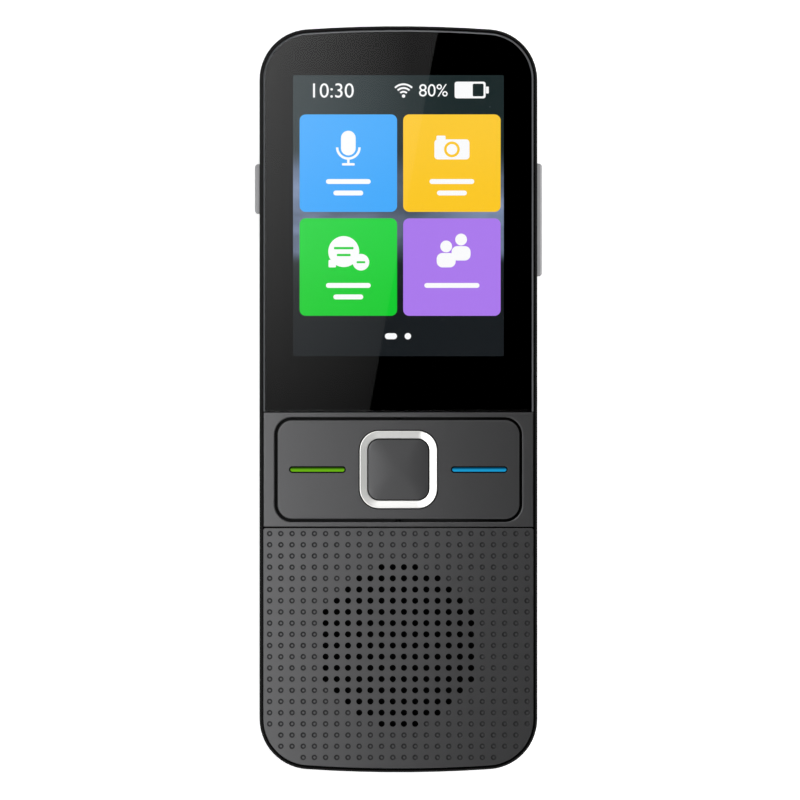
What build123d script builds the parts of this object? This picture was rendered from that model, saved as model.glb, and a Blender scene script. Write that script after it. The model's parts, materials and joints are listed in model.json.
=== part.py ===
from build123d import *
import os
from math import hypot

# Handheld voice translator. Millimetres. The unit lies on its back: +Z comes out of the
# screen, +Y points to the top end, +X is to the right as the screen is read, and the
# origin is in the middle of the back face.

# ---- Front layout, from the top end down (2.4 inch display, 240 x 320) --------------
side_border = 5.84  # side of the body to the lit picture
top_border = 8.52  # top end to the lit picture
active_width = 36.72
active_length = 48.96
glass_chin = 9.67  # lit picture to the lower edge of the glass
panel_seam = 0.1  # glass to key panel
key_panel_length = 20.0
grille_seam = 0.2  # key panel to grille panel
grille_panel_length = 41.9
rim_width = 0.6  # rim of the frame that shows round the glass and the panels
rim_fit = 0.05  # gap between the rim and the glass or the panels

# ---- Body shells -------------------------------------------------------------------
body_thickness = 12.0  # back face to glass face
corner_radius = 8.8
end_crown = 1.25  # how far the bowed ends rise over the width of the body
wall = 1.4
parting_height = 4.0  # back face to the joint line between the two shells
back_edge_chamfer = 2.0
front_edge_chamfer = 0.3
deck_thickness = 1.0
lip_thickness = 0.6  # tongue of the rear cover that registers inside the frame
lip_height = 0.8
lip_clearance = 0.08
snap_end_distance = (19.0, 15.0)  # bottom end and top end to the nearest snap
snap_key_distance = 4.25  # middle snap above the middle of the key bar
snap_width = 5.0
snap_arm = 0.6
snap_root = 1.5  # below the joint line
snap_height = 2.0  # above the joint line
snap_barb = 0.3
snap_barb_height = 0.8
snap_side_gap = 0.12

# ---- Glass and display module ------------------------------------------------------
glass_thickness = 1.0
glass_chamfer = 0.3
tape_thickness = 0.15
tape_margin = 0.2
lcd_side_border = 2.99
lcd_top_border = 2.2
lcd_bottom_border = 7.0  # ledge with the driver chip
lcd_cell_thickness = 0.7
lcd_backlight_thickness = 1.45
lcd_ledge = 0.4  # cell overhang where the flex is bonded
lcd_clearance = 0.2
gasket_thickness = 0.15
gasket_reveal = 0.6  # gap from the lit picture to the foam
gasket_margin = 0.2  # foam edge to the edge of the display cell
tray_floor = 0.7
tray_wall = 1.0
flex_thickness = 0.15
display_flex_width = 12.0
display_flex_gap = 0.37  # end of the display cell to the drop of its flex
display_plug_size = (14.0, 2.4, 0.7)

# ---- Front panels ------------------------------------------------------------------
panel_chamfer = 0.15
grille_pitch = 1.95
grille_columns = 12  # to each side of the middle
grille_hole_radius = 0.5
grille_hole_sides = 6
grille_rise = 0.5  # sound field above the middle of its panel
grille_radius = 14.25  # holes whose centres lie inside this circle are open

# ---- Rocker key --------------------------------------------------------------------
rocker_side_margin = 3.1  # side of the body to the rocker
rocker_end_margin = 1.35  # edge of the key panel to the rocker
rocker_corner = 2.6
rocker_gap = 0.43
rocker_proud = 0.15
rocker_plate = 1.3
rocker_skirt = 1.1
rocker_skirt_wall = 0.9
rocker_chamfer = 0.2
rocker_axis_drop = 1.7  # glass face down to the pivot axis
pivot_radius = 0.5
pivot_clearance = 0.06
pivot_reach = 1.0  # stub axle past the edge of the rocker
pivot_end_gap = 0.1
well_depth = 1.65  # deck face down to the well floor
well_floor = 1.0
well_wall = 1.0
nub_width = 2.0
nub_hole_gap = 0.6
rocker_nub_inset = (5.1, 3.65)  # end and lower edge of the rocker to its nubs
bar_inner_gap = 2.6  # ring to light bar
bar_outer_gap = 2.25  # light bar to the end of the rocker
bar_width = 0.8
bar_gap = 0.17
bar_recess = 0.1
bar_flange = 0.5
bar_flange_margin = 0.4
bar_window_margin = 0.8  # opening in the well floor past the bar

# ---- Centre key and its ring -------------------------------------------------------
ring_margin = 1.9  # edge of the rocker to the ring
ring_width = 1.35
ring_corner = 3.4
ring_height = 1.2
ring_proud = 0.5
ring_gap = 0.15
ring_chamfer = 0.2
collar_wall = 0.7
key_gap = 0.15
key_proud = 0.3
key_flange = 0.35  # overhang that holds the key under the ring
key_flange_thickness = 0.8
key_chamfer = 0.25
key_seat_gap = 0.05

# ---- Side keys ---------------------------------------------------------------------
side_key_height = 2.6
side_key_drop = 0.7  # main board's face down to the middle of the side keys
side_key_proud = 0.85
side_key_gap = 0.12
side_key_chamfer = 0.35
power_length = 8.7
power_distance = 28.3  # top end to the middle of the power key
volume_length = 19.7
volume_distance = 33.7  # top end to the middle of the volume key
side_flange = 0.6
side_flange_reach = 0.7  # flange past each end of the key
volume_flange_setback = 0.45  # room for the rocking flange behind the wall
volume_pin_radius = 0.4
volume_pin_clearance = 0.04
volume_pin_reach = 0.45
volume_ear_width = 1.44
ear_thickness = 0.5
pin_hole_depth = 0.42
volume_dome_offset = 6.5
bracket_setback = 1.9  # inside of the wall to the face of the switch bracket
bracket_thickness = 0.8
bracket_margin = 0.6
side_nub_width = 1.4
side_flex_margin = 0.4
side_flex_gap = 0.1
side_flex_reach = 1.7  # bracket's face to the tail's rise
side_flex_landing = 1.3

# ---- Main board, its switches and chips --------------------------------------------
board_headroom = 1.0  # well floor's underside to the board
board_thickness = 0.8
board_side_gap = 4.4  # side of the body to the board
board_end_gap = 0.6  # inside of the end wall to the board
board_speaker_gap = 1.0
dome_sides = 12
dome_radius = 2.0
dome_height = 0.3
dome_taper = 70.0
dome_gap = 0.02
side_dome_radius = 1.2
side_dome_taper = 60.0
led_size = (1.6, 0.8, 0.6)
screw_radius = 0.7
screw_head_radius = 1.25
screw_head_height = 0.5
screw_length = 2.5  # under the head
screw_hole_gap = 0.1
screw_pilot_gap = 0.04
boss_width = 3.4
board_screw_inset = (2.3, 2.1)  # side and lower edge of the board to its screws
hook_distance = 3.0  # top end to the tip of the hooks that hold the board's top edge
hook_height = 0.8
hook_width = 3.0
hook_x = 13.5
post_width = 2.0
shield_size = (17.0, 15.0, 1.3)
shield_x = -4.5
shield_key_distance = 1.25  # middle of the can above the middle of the key bar
shield_sheet = 0.2
processor_size = (11.0, 11.0, 0.8)

# ---- Battery -----------------------------------------------------------------------
battery_side_gap = 7.2  # side of the body to the battery
battery_chin = 7.15  # lower edge of the glass to the battery
battery_window_gap = 1.8  # battery to the camera window
battery_board_gap = 0.6
battery_tape_thickness = 0.1
battery_tape_width = 8.0
battery_tape_inset = 3.0
battery_rib = 0.8
battery_rib_height = 1.5
battery_rib_length = 12.0
battery_clearance = 0.3
battery_flex_width = 7.0
battery_flex_gap = 1.3  # battery to the rise of its flex
battery_flex_level = 2.5  # under side of the battery to its flex
battery_plug_size = (8.0, 3.0, 0.6)
battery_plug_gap = 4.0  # battery to the middle of the plug

# ---- Speaker, square with cut corners ----------------------------------------------
speaker_sides = 8
sound_margin = 0.65  # open holes to the edge of the opening in the deck
speaker_margin = 1.0  # opening in the deck to the edge of the speaker
cloth_margin = 0.2  # cloth past the speaker
cloth_thickness = 0.18
cloth_seat_gap = 0.1
speaker_gasket_thickness = 0.4
speaker_rim = 0.6
basket_inset = 1.7  # edge of the rim to the basket's side
basket_depth = 2.8  # under the rim
basket_taper = 60.0
basket_sheet = 0.6
diaphragm_margin = 2.0  # edge of the rim to the diaphragm
diaphragm_thickness = 0.3
coil_radius = 4.9
coil_gap = 0.3
magnet_radius = 7.6
magnet_height = 2.6
locating_wall = 0.8
locating_height = 1.3
locating_length = 6.0
locating_clearance = 0.1
speaker_flex_x = -5.2
speaker_flex_width = 2.0
speaker_flex_landing = 1.6  # under the speaker's rim
board_flex_landing = 1.2  # under the main board's lower edge

# ---- USB-C socket board and microphone ---------------------------------------------
usb_drop = 0.4  # main board's face down to the middle of the socket
usb_width = 8.94
usb_height = 3.2
usb_length = 6.5
usb_sheet = 0.3
usb_recess = 0.3
usb_aperture_gap = 0.15
usb_back_wall = 1.2
usb_tongue_size = (6.7, 4.6, 0.7)
usb_board_side_gap = 3.8  # side of the body to the board
usb_board_step = -8.0  # where the board steps back to clear the microphone
usb_board_right = 8.6
usb_board_top = 12.2  # bottom end to the board's far edge
usb_board_shoulder = 6.4  # bottom end to the stepped edge
usb_board_bottom = 2.4  # bottom end to the near edge
usb_board_thickness = 0.8
stake_x = 6.2
stake_distance = 10.0  # bottom end to the stakes
stake_width = 1.4
stake_gap = 0.1
stake_head = 0.4  # stake past the board's face
usb_flex_width = 5.0
usb_flex_inset = 2.8  # side of the main board to the middle of the flex
usb_flex_landing = 4.7
usb_flex_rise = (2.8, 7.8)  # past the socket board, where the flex climbs
usb_plug_size = (5.6, 2.4, 0.7)
usb_plug_distance = 6.9  # lower edge of the main board to the plug
microphone_x = -12.0
microphone_radius = 1.5
microphone_length = 1.4
microphone_pad = 0.5  # flat pad inside the end wall
microphone_pad_width = 5.0
sound_port_radius = 0.4
boot_width = 4.2
boot_lip = 0.5
boot_port_width = 1.4
microphone_flex_width = 2.0
microphone_flex_landing = 1.0

# ---- Camera and flash --------------------------------------------------------------
camera_distance = 11.0  # top end to the middle of the camera
camera_x = 4.5
flash_x = -4.5
window_length = 17.4
window_width = 8.4
window_thickness = 0.8
window_recess = 0.15
window_gap = 0.1
camera_size = 8.0
camera_body_height = 3.4
barrel_radius = 2.9
lens_radius = 1.7
lens_thickness = 0.5
lens_seat = 0.3
barrel_gap = 0.2
guide_radius = 1.5
guide_flange = 0.6
guide_flange_thickness = 0.5
guide_gap = 0.12
flash_led_size = (2.0, 2.0, 0.6)

# ---- Antenna -----------------------------------------------------------------------
antenna_size = (22.0, 2.4, 0.15)
antenna_distance = 3.4  # top end to the middle of the strip
spring_x = 3.0
spring_width = 1.4
spring_reach = 0.7

# ---- Plan sizes and places worked out from the sizes above -------------------------
panel_inset = rim_width + rim_fit
body_width = active_width + 2 * side_border
glass_length = top_border - panel_inset + active_length + glass_chin
panels_length = key_panel_length + grille_seam + grille_panel_length
body_length = 2 * panel_inset + glass_length + panel_seam + panels_length
half_width = body_width / 2
half_length = body_length / 2
inner_side = half_width - wall
end_wall_inside = wall - half_length

active_centre = half_length - top_border - active_length / 2
glass_bottom = half_length - panel_inset - glass_length
key_panel_top = glass_bottom - panel_seam
key_panel_bottom = key_panel_top - key_panel_length
key_centre = (key_panel_top + key_panel_bottom) / 2
grille_panel_top = key_panel_bottom - grille_seam
grille_centre = grille_panel_top - grille_panel_length / 2 + grille_rise
snap_points = (
    snap_end_distance[0] - half_length,
    key_centre + snap_key_distance,
    half_length - snap_end_distance[1],
)

lcd_width = active_width + 2 * lcd_side_border
lcd_bottom = active_centre - active_length / 2 - lcd_bottom_border
lcd_top = active_centre + active_length / 2 + lcd_top_border
lcd_length = lcd_top - lcd_bottom
lcd_centre = (lcd_top + lcd_bottom) / 2
backlight_end = lcd_bottom + lcd_ledge
tray_block_bottom = lcd_bottom - lcd_clearance - tray_wall
tray_block_top = lcd_top + lcd_clearance + tray_wall

rocker_length = body_width - 2 * rocker_side_margin
rocker_width = key_panel_length - 2 * rocker_end_margin
well_length = rocker_length + 2 * rocker_gap
well_width = rocker_width + 2 * rocker_gap
well_corner = rocker_corner + rocker_gap
well_block_width = well_width + 2 * well_wall
rocker_nub_x = rocker_length / 2 - rocker_nub_inset[0]
rocker_nub_y = key_centre - rocker_width / 2 + rocker_nub_inset[1]
ring_size = rocker_width - 2 * ring_margin
ring_opening = ring_size - 2 * ring_width
ring_opening_corner = ring_corner - ring_width
rocker_opening = ring_size + 2 * ring_gap
bar_length = (rocker_length - ring_size) / 2 - bar_inner_gap - bar_outer_gap
bar_offset = ring_size / 2 + bar_inner_gap + bar_length / 2
key_size = ring_opening - 2 * key_gap
key_corner = ring_opening_corner - key_gap
flange_size = ring_opening + 2 * key_flange
flange_corner = ring_opening_corner + key_flange
collar_inside = flange_size + 2 * key_gap
collar_outside = collar_inside + 2 * collar_wall
collar_corner = flange_corner + key_gap

power_centre = half_length - power_distance
volume_centre = half_length - volume_distance
bracket_face = inner_side - bracket_setback
switch_width = 2 * (side_dome_radius + side_flex_margin)
switch_face = bracket_face + flex_thickness
side_nub_end = switch_face + dome_height + dome_gap
volume_flange_face = inner_side - volume_flange_setback
volume_pin_x = volume_flange_face - side_flange / 2

sound_half = grille_radius + sound_margin
speaker_half = sound_half + speaker_margin
cloth_half = speaker_half + cloth_margin
board_width = body_width - 2 * board_side_gap
board_bottom = grille_centre + speaker_half + board_speaker_gap
board_screw_x = board_width / 2 - board_screw_inset[0]
board_screw_y = board_bottom + board_screw_inset[1]
shield_centre = (shield_x, key_centre + shield_key_distance)
camera_y = half_length - camera_distance
battery_width = body_width - 2 * battery_side_gap
battery_end = glass_bottom + battery_chin
battery_length = camera_y - window_width / 2 - battery_window_gap - battery_end
battery_centre = battery_end + battery_length / 2
battery_plug_y = battery_end - battery_plug_gap
usb_mouth = usb_recess - half_length
usb_back = usb_mouth + usb_length
usb_board_edge = usb_board_top - half_length
stake_y = stake_distance - half_length
usb_flex_x = usb_flex_inset - board_width / 2
usb_plug_y = board_bottom + usb_plug_distance
pad_face = end_wall_inside + microphone_pad
microphone_face = pad_face + boot_lip
microphone_back = microphone_face + microphone_length
antenna_y = half_length - antenna_distance

# ---- Heights worked out from the sizes above ---------------------------------------
deck_top = body_thickness - glass_thickness - tape_thickness
deck_bottom = deck_top - deck_thickness
panel_height = body_thickness - deck_top
lip_top = parting_height + lip_height
snap_top = parting_height + snap_height
lcd_face = body_thickness - glass_thickness - gasket_thickness
cell_bottom = lcd_face - lcd_cell_thickness
tray_face = cell_bottom - lcd_backlight_thickness
tray_bottom = tray_face - tray_floor
rocker_top = body_thickness + rocker_proud
rocker_under = rocker_top - rocker_plate
rocker_axis = body_thickness - rocker_axis_drop
well_face = deck_top - well_depth
well_bottom = well_face - well_floor
ring_top = body_thickness + ring_proud
ring_bottom = ring_top - ring_height
key_top = body_thickness + key_proud
flange_top = ring_bottom - key_seat_gap
flange_bottom = flange_top - key_flange_thickness
board_face = well_bottom - board_headroom
board_back = board_face - board_thickness
nub_end = board_face + dome_height + dome_gap
side_key_level = board_face - side_key_drop
side_key_bottom = side_key_level - side_key_height / 2
side_key_top = side_key_level + side_key_height / 2
ear_top = side_key_bottom - side_key_gap
ear_bottom = ear_top - ear_thickness
usb_level = board_face - usb_drop
usb_board_face = usb_level - usb_height / 2
usb_board_back = usb_board_face - usb_board_thickness
battery_bottom = wall + battery_tape_thickness
battery_thickness = board_back - battery_board_gap - battery_bottom
speaker_face = deck_bottom - speaker_gasket_thickness
rim_bottom = speaker_face - speaker_rim
basket_bottom = rim_bottom - basket_depth
window_face = window_recess + window_thickness
camera_bottom = board_back - camera_body_height

grille_points = [
    ((column + 0.5) * grille_pitch, grille_centre + row * grille_pitch)
    for column in range(-grille_columns, grille_columns)
    for row in range(-grille_columns, grille_columns + 1)
    if hypot((column + 0.5) * grille_pitch, row * grille_pitch) <= grille_radius
]


def body_outline(inset=0.0):
    """The body's outline with its bowed ends, drawn that far inside the edge."""
    shoulder = half_length - end_crown
    with BuildSketch(mode=Mode.PRIVATE) as outline:
        with BuildLine():
            Line((-half_width, -shoulder), (-half_width, shoulder))
            ThreePointArc((-half_width, shoulder), (0, half_length), (half_width, shoulder))
            Line((half_width, shoulder), (half_width, -shoulder))
            ThreePointArc((half_width, -shoulder), (0, -half_length), (-half_width, -shoulder))
        make_face()
        fillet(outline.vertices(), corner_radius)
        if inset:
            offset(amount=-inset, mode=Mode.REPLACE)
    return outline.sketch


def outline_band(inset, bottom, top):
    """The part of an inset outline that lies between two places in Y."""
    with BuildSketch(mode=Mode.PRIVATE) as band:
        add(body_outline(inset))
        with Locations((0, (bottom + top) / 2)):
            Rectangle(body_width, top - bottom, mode=Mode.INTERSECT)
    return band.sketch


def cut_corner_square(half, mode=Mode.ADD):
    """A square with its corners cut to a regular octagon, for the speaker's pieces."""
    return RegularPolygon(
        half, speaker_sides, major_radius=False, rotation=180 / speaker_sides, mode=mode
    )


def snap_dome(plane, radius, taper):
    """A metal snap dome: a low tapered cap that stands on the plane."""
    with BuildPart() as cap:
        with BuildSketch():
            RegularPolygon(radius, dome_sides)
        extrude(amount=dome_height, taper=taper)
    return plane * cap.part


def flex_strip(plane, points, width):
    """A flat flex that follows points in a plane."""
    with BuildPart() as strip:
        with BuildSketch(plane):
            with BuildLine():
                Polyline(*points)
            trace(line_width=flex_thickness)
        extrude(amount=width / 2, both=True)
    return strip.part


def write(part, name):
    """Labels a finished piece and writes its STEP file."""
    part.label = name
    export_step(part, f"parts/{name}.step")


os.makedirs("parts", exist_ok=True)


# ---- Front frame: rim, deck, key well, display tray and speaker seat ----------------
with BuildPart() as front_frame:
    with BuildSketch(Plane.XY.offset(parting_height)):
        add(body_outline())
    extrude(amount=body_thickness - parting_height)
    chamfer(front_frame.faces().sort_by(Axis.Z)[-1].edges(), front_edge_chamfer)

    # Room inside, the step for the rear cover's lip, and the seat for glass and panels.
    with BuildSketch(Plane.XY.offset(parting_height)):
        add(body_outline(wall))
    extrude(amount=deck_bottom - parting_height, mode=Mode.SUBTRACT)
    with BuildSketch(Plane.XY.offset(parting_height)):
        add(body_outline(wall - lip_thickness - lip_clearance))
    extrude(amount=lip_height + lip_clearance, mode=Mode.SUBTRACT)
    with BuildSketch(Plane.XY.offset(deck_top)):
        add(body_outline(rim_width))
    extrude(amount=panel_height, mode=Mode.SUBTRACT)

    # Blocks under the deck for the key well and the display tray, keyed into the walls.
    with BuildSketch(Plane.XY.offset(well_bottom)):
        add(outline_band(wall / 2, key_centre - well_block_width / 2, key_centre + well_block_width / 2))
    extrude(amount=deck_bottom - well_bottom)
    with BuildSketch(Plane.XY.offset(tray_bottom)):
        add(outline_band(wall / 2, tray_block_bottom, tray_block_top))
    extrude(amount=deck_bottom - tray_bottom)

    # Key well, its two bearing notches, the collar and the openings in its floor.
    with BuildSketch(Plane.XY.offset(well_face)):
        with Locations((0, key_centre)):
            RectangleRounded(well_length, well_width, well_corner)
    extrude(amount=well_depth, mode=Mode.SUBTRACT)
    with BuildSketch(Plane.XZ.offset(-key_centre)):
        with Locations((0, rocker_axis)):
            Circle(pivot_radius + pivot_clearance)
        with Locations((0, (rocker_axis + deck_top) / 2)):
            Rectangle(2 * (pivot_radius + pivot_clearance), deck_top - rocker_axis)
    extrude(amount=rocker_width / 2 + pivot_reach + pivot_end_gap, both=True, mode=Mode.SUBTRACT)
    with BuildSketch(Plane.XY.offset(well_face)):
        with Locations((0, key_centre)):
            RectangleRounded(collar_outside, collar_outside, collar_corner + collar_wall)
            RectangleRounded(collar_inside, collar_inside, collar_corner, mode=Mode.SUBTRACT)
    extrude(amount=ring_bottom - well_face)
    nub_hole = nub_width + 2 * nub_hole_gap
    with BuildSketch(Plane.XY.offset(well_bottom)):
        with Locations((0, key_centre), (-rocker_nub_x, rocker_nub_y), (rocker_nub_x, rocker_nub_y)):
            Rectangle(nub_hole, nub_hole)
        with Locations((-bar_offset, key_centre), (bar_offset, key_centre)):
            Rectangle(bar_length + 2 * bar_window_margin, bar_width + 2 * bar_window_margin)
    extrude(amount=well_floor, mode=Mode.SUBTRACT)

    # Display tray, with a notch in its lower end where the display flex passes down.
    with BuildSketch(Plane.XY.offset(tray_face)):
        with Locations((0, lcd_centre)):
            Rectangle(lcd_width + 2 * lcd_clearance, lcd_length + 2 * lcd_clearance)
    extrude(amount=deck_top - tray_face, mode=Mode.SUBTRACT)
    with BuildSketch(Plane.XY.offset(tray_bottom)):
        with Locations((0, (backlight_end + tray_block_bottom) / 2)):
            Rectangle(display_plug_size[0], backlight_end - tray_block_bottom)
    extrude(amount=cell_bottom - tray_bottom, mode=Mode.SUBTRACT)

    # Sound opening, cloth seat and the four ribs that locate the speaker.
    with BuildSketch(Plane.XY.offset(deck_bottom)):
        with Locations((0, grille_centre)):
            cut_corner_square(sound_half)
    extrude(amount=deck_thickness, mode=Mode.SUBTRACT)
    with BuildSketch(Plane.XY.offset(deck_top)):
        with Locations((0, grille_centre)):
            cut_corner_square(cloth_half + cloth_seat_gap)
    extrude(amount=-cloth_thickness, mode=Mode.SUBTRACT)
    with BuildSketch(Plane.XY.offset(deck_bottom)):
        with Locations((0, grille_centre)):
            with PolarLocations(speaker_half + locating_clearance + locating_wall / 2, 4):
                Rectangle(locating_wall, locating_length)
    extrude(amount=-locating_height)

    # What holds the main board: two screw bosses, two posts, and hooks at its top edge.
    with BuildSketch(Plane.XY.offset(board_face)):
        with Locations((-board_screw_x, board_screw_y), (board_screw_x, board_screw_y)):
            Rectangle(boss_width, boss_width)
    extrude(amount=deck_bottom - board_face)
    with BuildSketch(Plane.XY.offset(board_face)):
        with Locations((-hook_x, tray_block_top - post_width), (hook_x, tray_block_top - post_width)):
            Rectangle(post_width, post_width)
    extrude(amount=tray_bottom - board_face)
    with BuildSketch(Plane.XY.offset(board_face)):
        with Locations((-board_screw_x, board_screw_y), (board_screw_x, board_screw_y)):
            Circle(screw_radius + screw_pilot_gap)
    extrude(amount=screw_length - board_thickness + screw_pilot_gap, mode=Mode.SUBTRACT)
    hook_length = hook_distance - wall / 2
    hook_y = half_length - hook_distance + hook_length / 2
    with BuildSketch(Plane.XY.offset(board_back)):
        with Locations((-hook_x, hook_y), (hook_x, hook_y)):
            Rectangle(hook_width, hook_length)
    extrude(amount=-hook_height)

    # Brackets behind the side switches, and the ear under the volume key's pin.
    for side, centre, length in ((-1, power_centre, power_length), (1, volume_centre, volume_length)):
        with BuildSketch(Plane.XY.offset(ear_bottom)):
            with Locations((side * (bracket_face - bracket_thickness / 2), centre)):
                Rectangle(bracket_thickness, length + 2 * bracket_margin)
        extrude(amount=tray_bottom - ear_bottom)
    ear_length = volume_pin_x + volume_ear_width / 2 - bracket_face
    with BuildSketch(Plane.XY.offset(ear_bottom)):
        with Locations((bracket_face + ear_length / 2, volume_centre)):
            Rectangle(ear_length, volume_ear_width)
    extrude(amount=ear_thickness)
    with BuildSketch(Plane.XY.offset(ear_bottom)):
        with Locations((volume_pin_x, volume_centre)):
            Circle(volume_pin_radius + volume_pin_clearance)
    extrude(amount=tray_bottom + pin_hole_depth - ear_bottom, mode=Mode.SUBTRACT)

    # Slots in the side walls for the keys.
    for side, centre, length in ((-1, power_centre, power_length), (1, volume_centre, volume_length)):
        with BuildSketch(Plane.YZ.offset(side * (inner_side + wall / 2))):
            with Locations((centre, side_key_level)):
                Rectangle(length + 2 * side_key_gap, side_key_height + 2 * side_key_gap)
        extrude(amount=wall, both=True, mode=Mode.SUBTRACT)

    # Pad and port for the microphone, aperture for the USB-C socket.
    pad_root = end_wall_inside - wall / 2
    with BuildSketch(Plane.XY.offset(lip_top + lip_clearance)):
        with Locations((microphone_x, (pad_root + pad_face) / 2)):
            Rectangle(microphone_pad_width, pad_face - pad_root)
    extrude(amount=deck_bottom - lip_top - lip_clearance)
    with BuildSketch(Plane.XZ.offset(-end_wall_inside)):
        with Locations((0, usb_level)):
            SlotOverall(usb_width + 2 * usb_aperture_gap, usb_height + 2 * usb_aperture_gap)
        with Locations((microphone_x, usb_level)):
            Circle(sound_port_radius)
    extrude(amount=2 * wall, both=True, mode=Mode.SUBTRACT)

    # Pockets that catch the rear cover's snap barbs.
    for side in (-1, 1):
        with BuildSketch(Plane.XY.offset(snap_top - snap_barb_height - lip_clearance)):
            for y in snap_points:
                with Locations((side * (inner_side + (snap_barb + lip_clearance) / 2), y)):
                    Rectangle(snap_barb + lip_clearance, snap_width + 2 * snap_side_gap)
        extrude(amount=snap_barb_height + 2 * lip_clearance, mode=Mode.SUBTRACT)
write(front_frame.part, "front_frame")

# ---- Rear cover: tub with a lip, snaps, battery ribs and the camera window's pocket --
with BuildPart() as rear_cover:
    with BuildSketch():
        add(body_outline())
    extrude(amount=parting_height)
    chamfer(rear_cover.faces().sort_by(Axis.Z)[0].edges(), back_edge_chamfer)
    with BuildSketch(Plane.XY.offset(wall)):
        add(body_outline(wall))
    extrude(amount=parting_height - wall, mode=Mode.SUBTRACT)
    chamfer(rear_cover.faces().filter_by_position(Axis.Z, wall, wall)[0].edges(), back_edge_chamfer / 2)

    with BuildSketch(Plane.XY.offset(parting_height)):
        add(body_outline(wall - lip_thickness))
        add(body_outline(wall), mode=Mode.SUBTRACT)
    extrude(amount=lip_height)
    for side in (-1, 1):
        with BuildSketch(Plane.XY.offset(parting_height - snap_root)):
            for y in snap_points:
                with Locations((side * (inner_side - snap_arm / 2), y)):
                    Rectangle(snap_arm, snap_width)
        extrude(amount=snap_root + snap_height)
        with BuildSketch(Plane.XY.offset(snap_top)):
            for y in snap_points:
                with Locations((side * (inner_side + (snap_barb - snap_arm) / 2), y)):
                    Rectangle(snap_barb + snap_arm, snap_width)
        extrude(amount=-snap_barb_height)

    # Ribs round the battery, and the bosses with stakes that hold the socket board.
    rib_x = battery_width / 2 + battery_clearance + battery_rib / 2
    rib_y = battery_length / 2 + battery_clearance + battery_rib / 2
    with BuildSketch(Plane.XY.offset(wall)):
        with Locations((-rib_x, battery_centre), (rib_x, battery_centre)):
            Rectangle(battery_rib, battery_length)
        with Locations((0, battery_centre - rib_y), (0, battery_centre + rib_y)):
            Rectangle(battery_rib_length, battery_rib)
    extrude(amount=battery_rib_height)
    with BuildSketch(Plane.XY.offset(wall)):
        with Locations((-stake_x, stake_y), (stake_x, stake_y)):
            Rectangle(boss_width, boss_width)
    extrude(amount=usb_board_back - wall)
    with BuildSketch(Plane.XY.offset(usb_board_back)):
        with Locations((-stake_x, stake_y), (stake_x, stake_y)):
            Rectangle(stake_width, stake_width)
    extrude(amount=usb_board_thickness + stake_head)

    # Pocket for the camera window, with openings for the lens and the flash.
    with BuildSketch():
        with Locations((0, camera_y)):
            SlotOverall(window_length + 2 * window_gap, window_width + 2 * window_gap)
    extrude(amount=window_face, mode=Mode.SUBTRACT)
    with BuildSketch(Plane.XY.offset(window_face)):
        with Locations((camera_x, camera_y)):
            Circle(barrel_radius + barrel_gap)
        with Locations((flash_x, camera_y)):
            Circle(guide_radius + guide_gap)
    extrude(amount=wall - window_face, mode=Mode.SUBTRACT)
write(rear_cover.part, "rear_cover")

# ---- Cover glass and what holds and seals it ----------------------------------------
with BuildPart() as cover_glass:
    with BuildSketch(Plane.XY.offset(body_thickness - glass_thickness)):
        add(outline_band(panel_inset, glass_bottom, half_length))
    extrude(amount=glass_thickness)
    chamfer(cover_glass.faces().sort_by(Axis.Z)[-1].edges().sort_by(Axis.Y)[1:], glass_chamfer)
write(cover_glass.part, "cover_glass")

with BuildPart() as glass_tape:
    with BuildSketch(Plane.XY.offset(deck_top)):
        add(outline_band(panel_inset + tape_margin, glass_bottom + tape_margin, half_length))
        with Locations((0, lcd_centre)):
            Rectangle(
                lcd_width + 2 * (lcd_clearance + tape_margin),
                lcd_length + 2 * (lcd_clearance + tape_margin),
                mode=Mode.SUBTRACT,
            )
    extrude(amount=tape_thickness)
write(glass_tape.part, "glass_tape")

with BuildPart() as display_gasket:
    with BuildSketch(Plane.XY.offset(lcd_face)):
        with Locations((0, lcd_centre)):
            Rectangle(lcd_width - 2 * gasket_margin, lcd_length - 2 * gasket_margin)
        with Locations((0, active_centre)):
            Rectangle(
                active_width + 2 * gasket_reveal,
                active_length + 2 * gasket_reveal,
                mode=Mode.SUBTRACT,
            )
    extrude(amount=gasket_thickness)
write(display_gasket.part, "display_gasket")

# ---- Display module -----------------------------------------------------------------
with BuildPart() as display_cell:
    with BuildSketch(Plane.XY.offset(cell_bottom)):
        with Locations((0, lcd_centre)):
            Rectangle(lcd_width, lcd_length)
    extrude(amount=lcd_cell_thickness)
write(display_cell.part, "display_cell")

with BuildPart() as display_backlight:
    with BuildSketch(Plane.XY.offset(tray_face)):
        with Locations((0, (backlight_end + lcd_top) / 2)):
            Rectangle(lcd_width, lcd_top - backlight_end)
    extrude(amount=lcd_backlight_thickness)
write(display_backlight.part, "display_backlight")

display_flex_y = lcd_bottom - display_flex_gap
display_flex_top = cell_bottom - flex_thickness / 2
display_flex_foot = board_face + display_plug_size[2] + flex_thickness / 2
display_flex = flex_strip(
    Plane.YZ,
    (
        (backlight_end, display_flex_top),
        (display_flex_y, display_flex_top),
        (display_flex_y, display_flex_foot),
        (tray_block_bottom - display_plug_size[1] / 2, display_flex_foot),
    ),
    display_flex_width,
)
write(display_flex, "display_flex")

with BuildPart() as display_plug:
    with BuildSketch(Plane.XY.offset(board_face)):
        with Locations((0, tray_block_bottom)):
            Rectangle(display_plug_size[0], display_plug_size[1])
    extrude(amount=display_plug_size[2])
write(display_plug.part, "display_plug")

# ---- Front panels -------------------------------------------------------------------
with BuildPart() as key_panel:
    with BuildSketch(Plane.XY.offset(deck_top)):
        add(outline_band(panel_inset, key_panel_bottom, key_panel_top))
        with Locations((0, key_centre)):
            RectangleRounded(well_length, well_width, well_corner, mode=Mode.SUBTRACT)
    extrude(amount=panel_height)
    chamfer(key_panel.faces().sort_by(Axis.Z)[-1].edges(), panel_chamfer)
write(key_panel.part, "key_panel")

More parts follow.
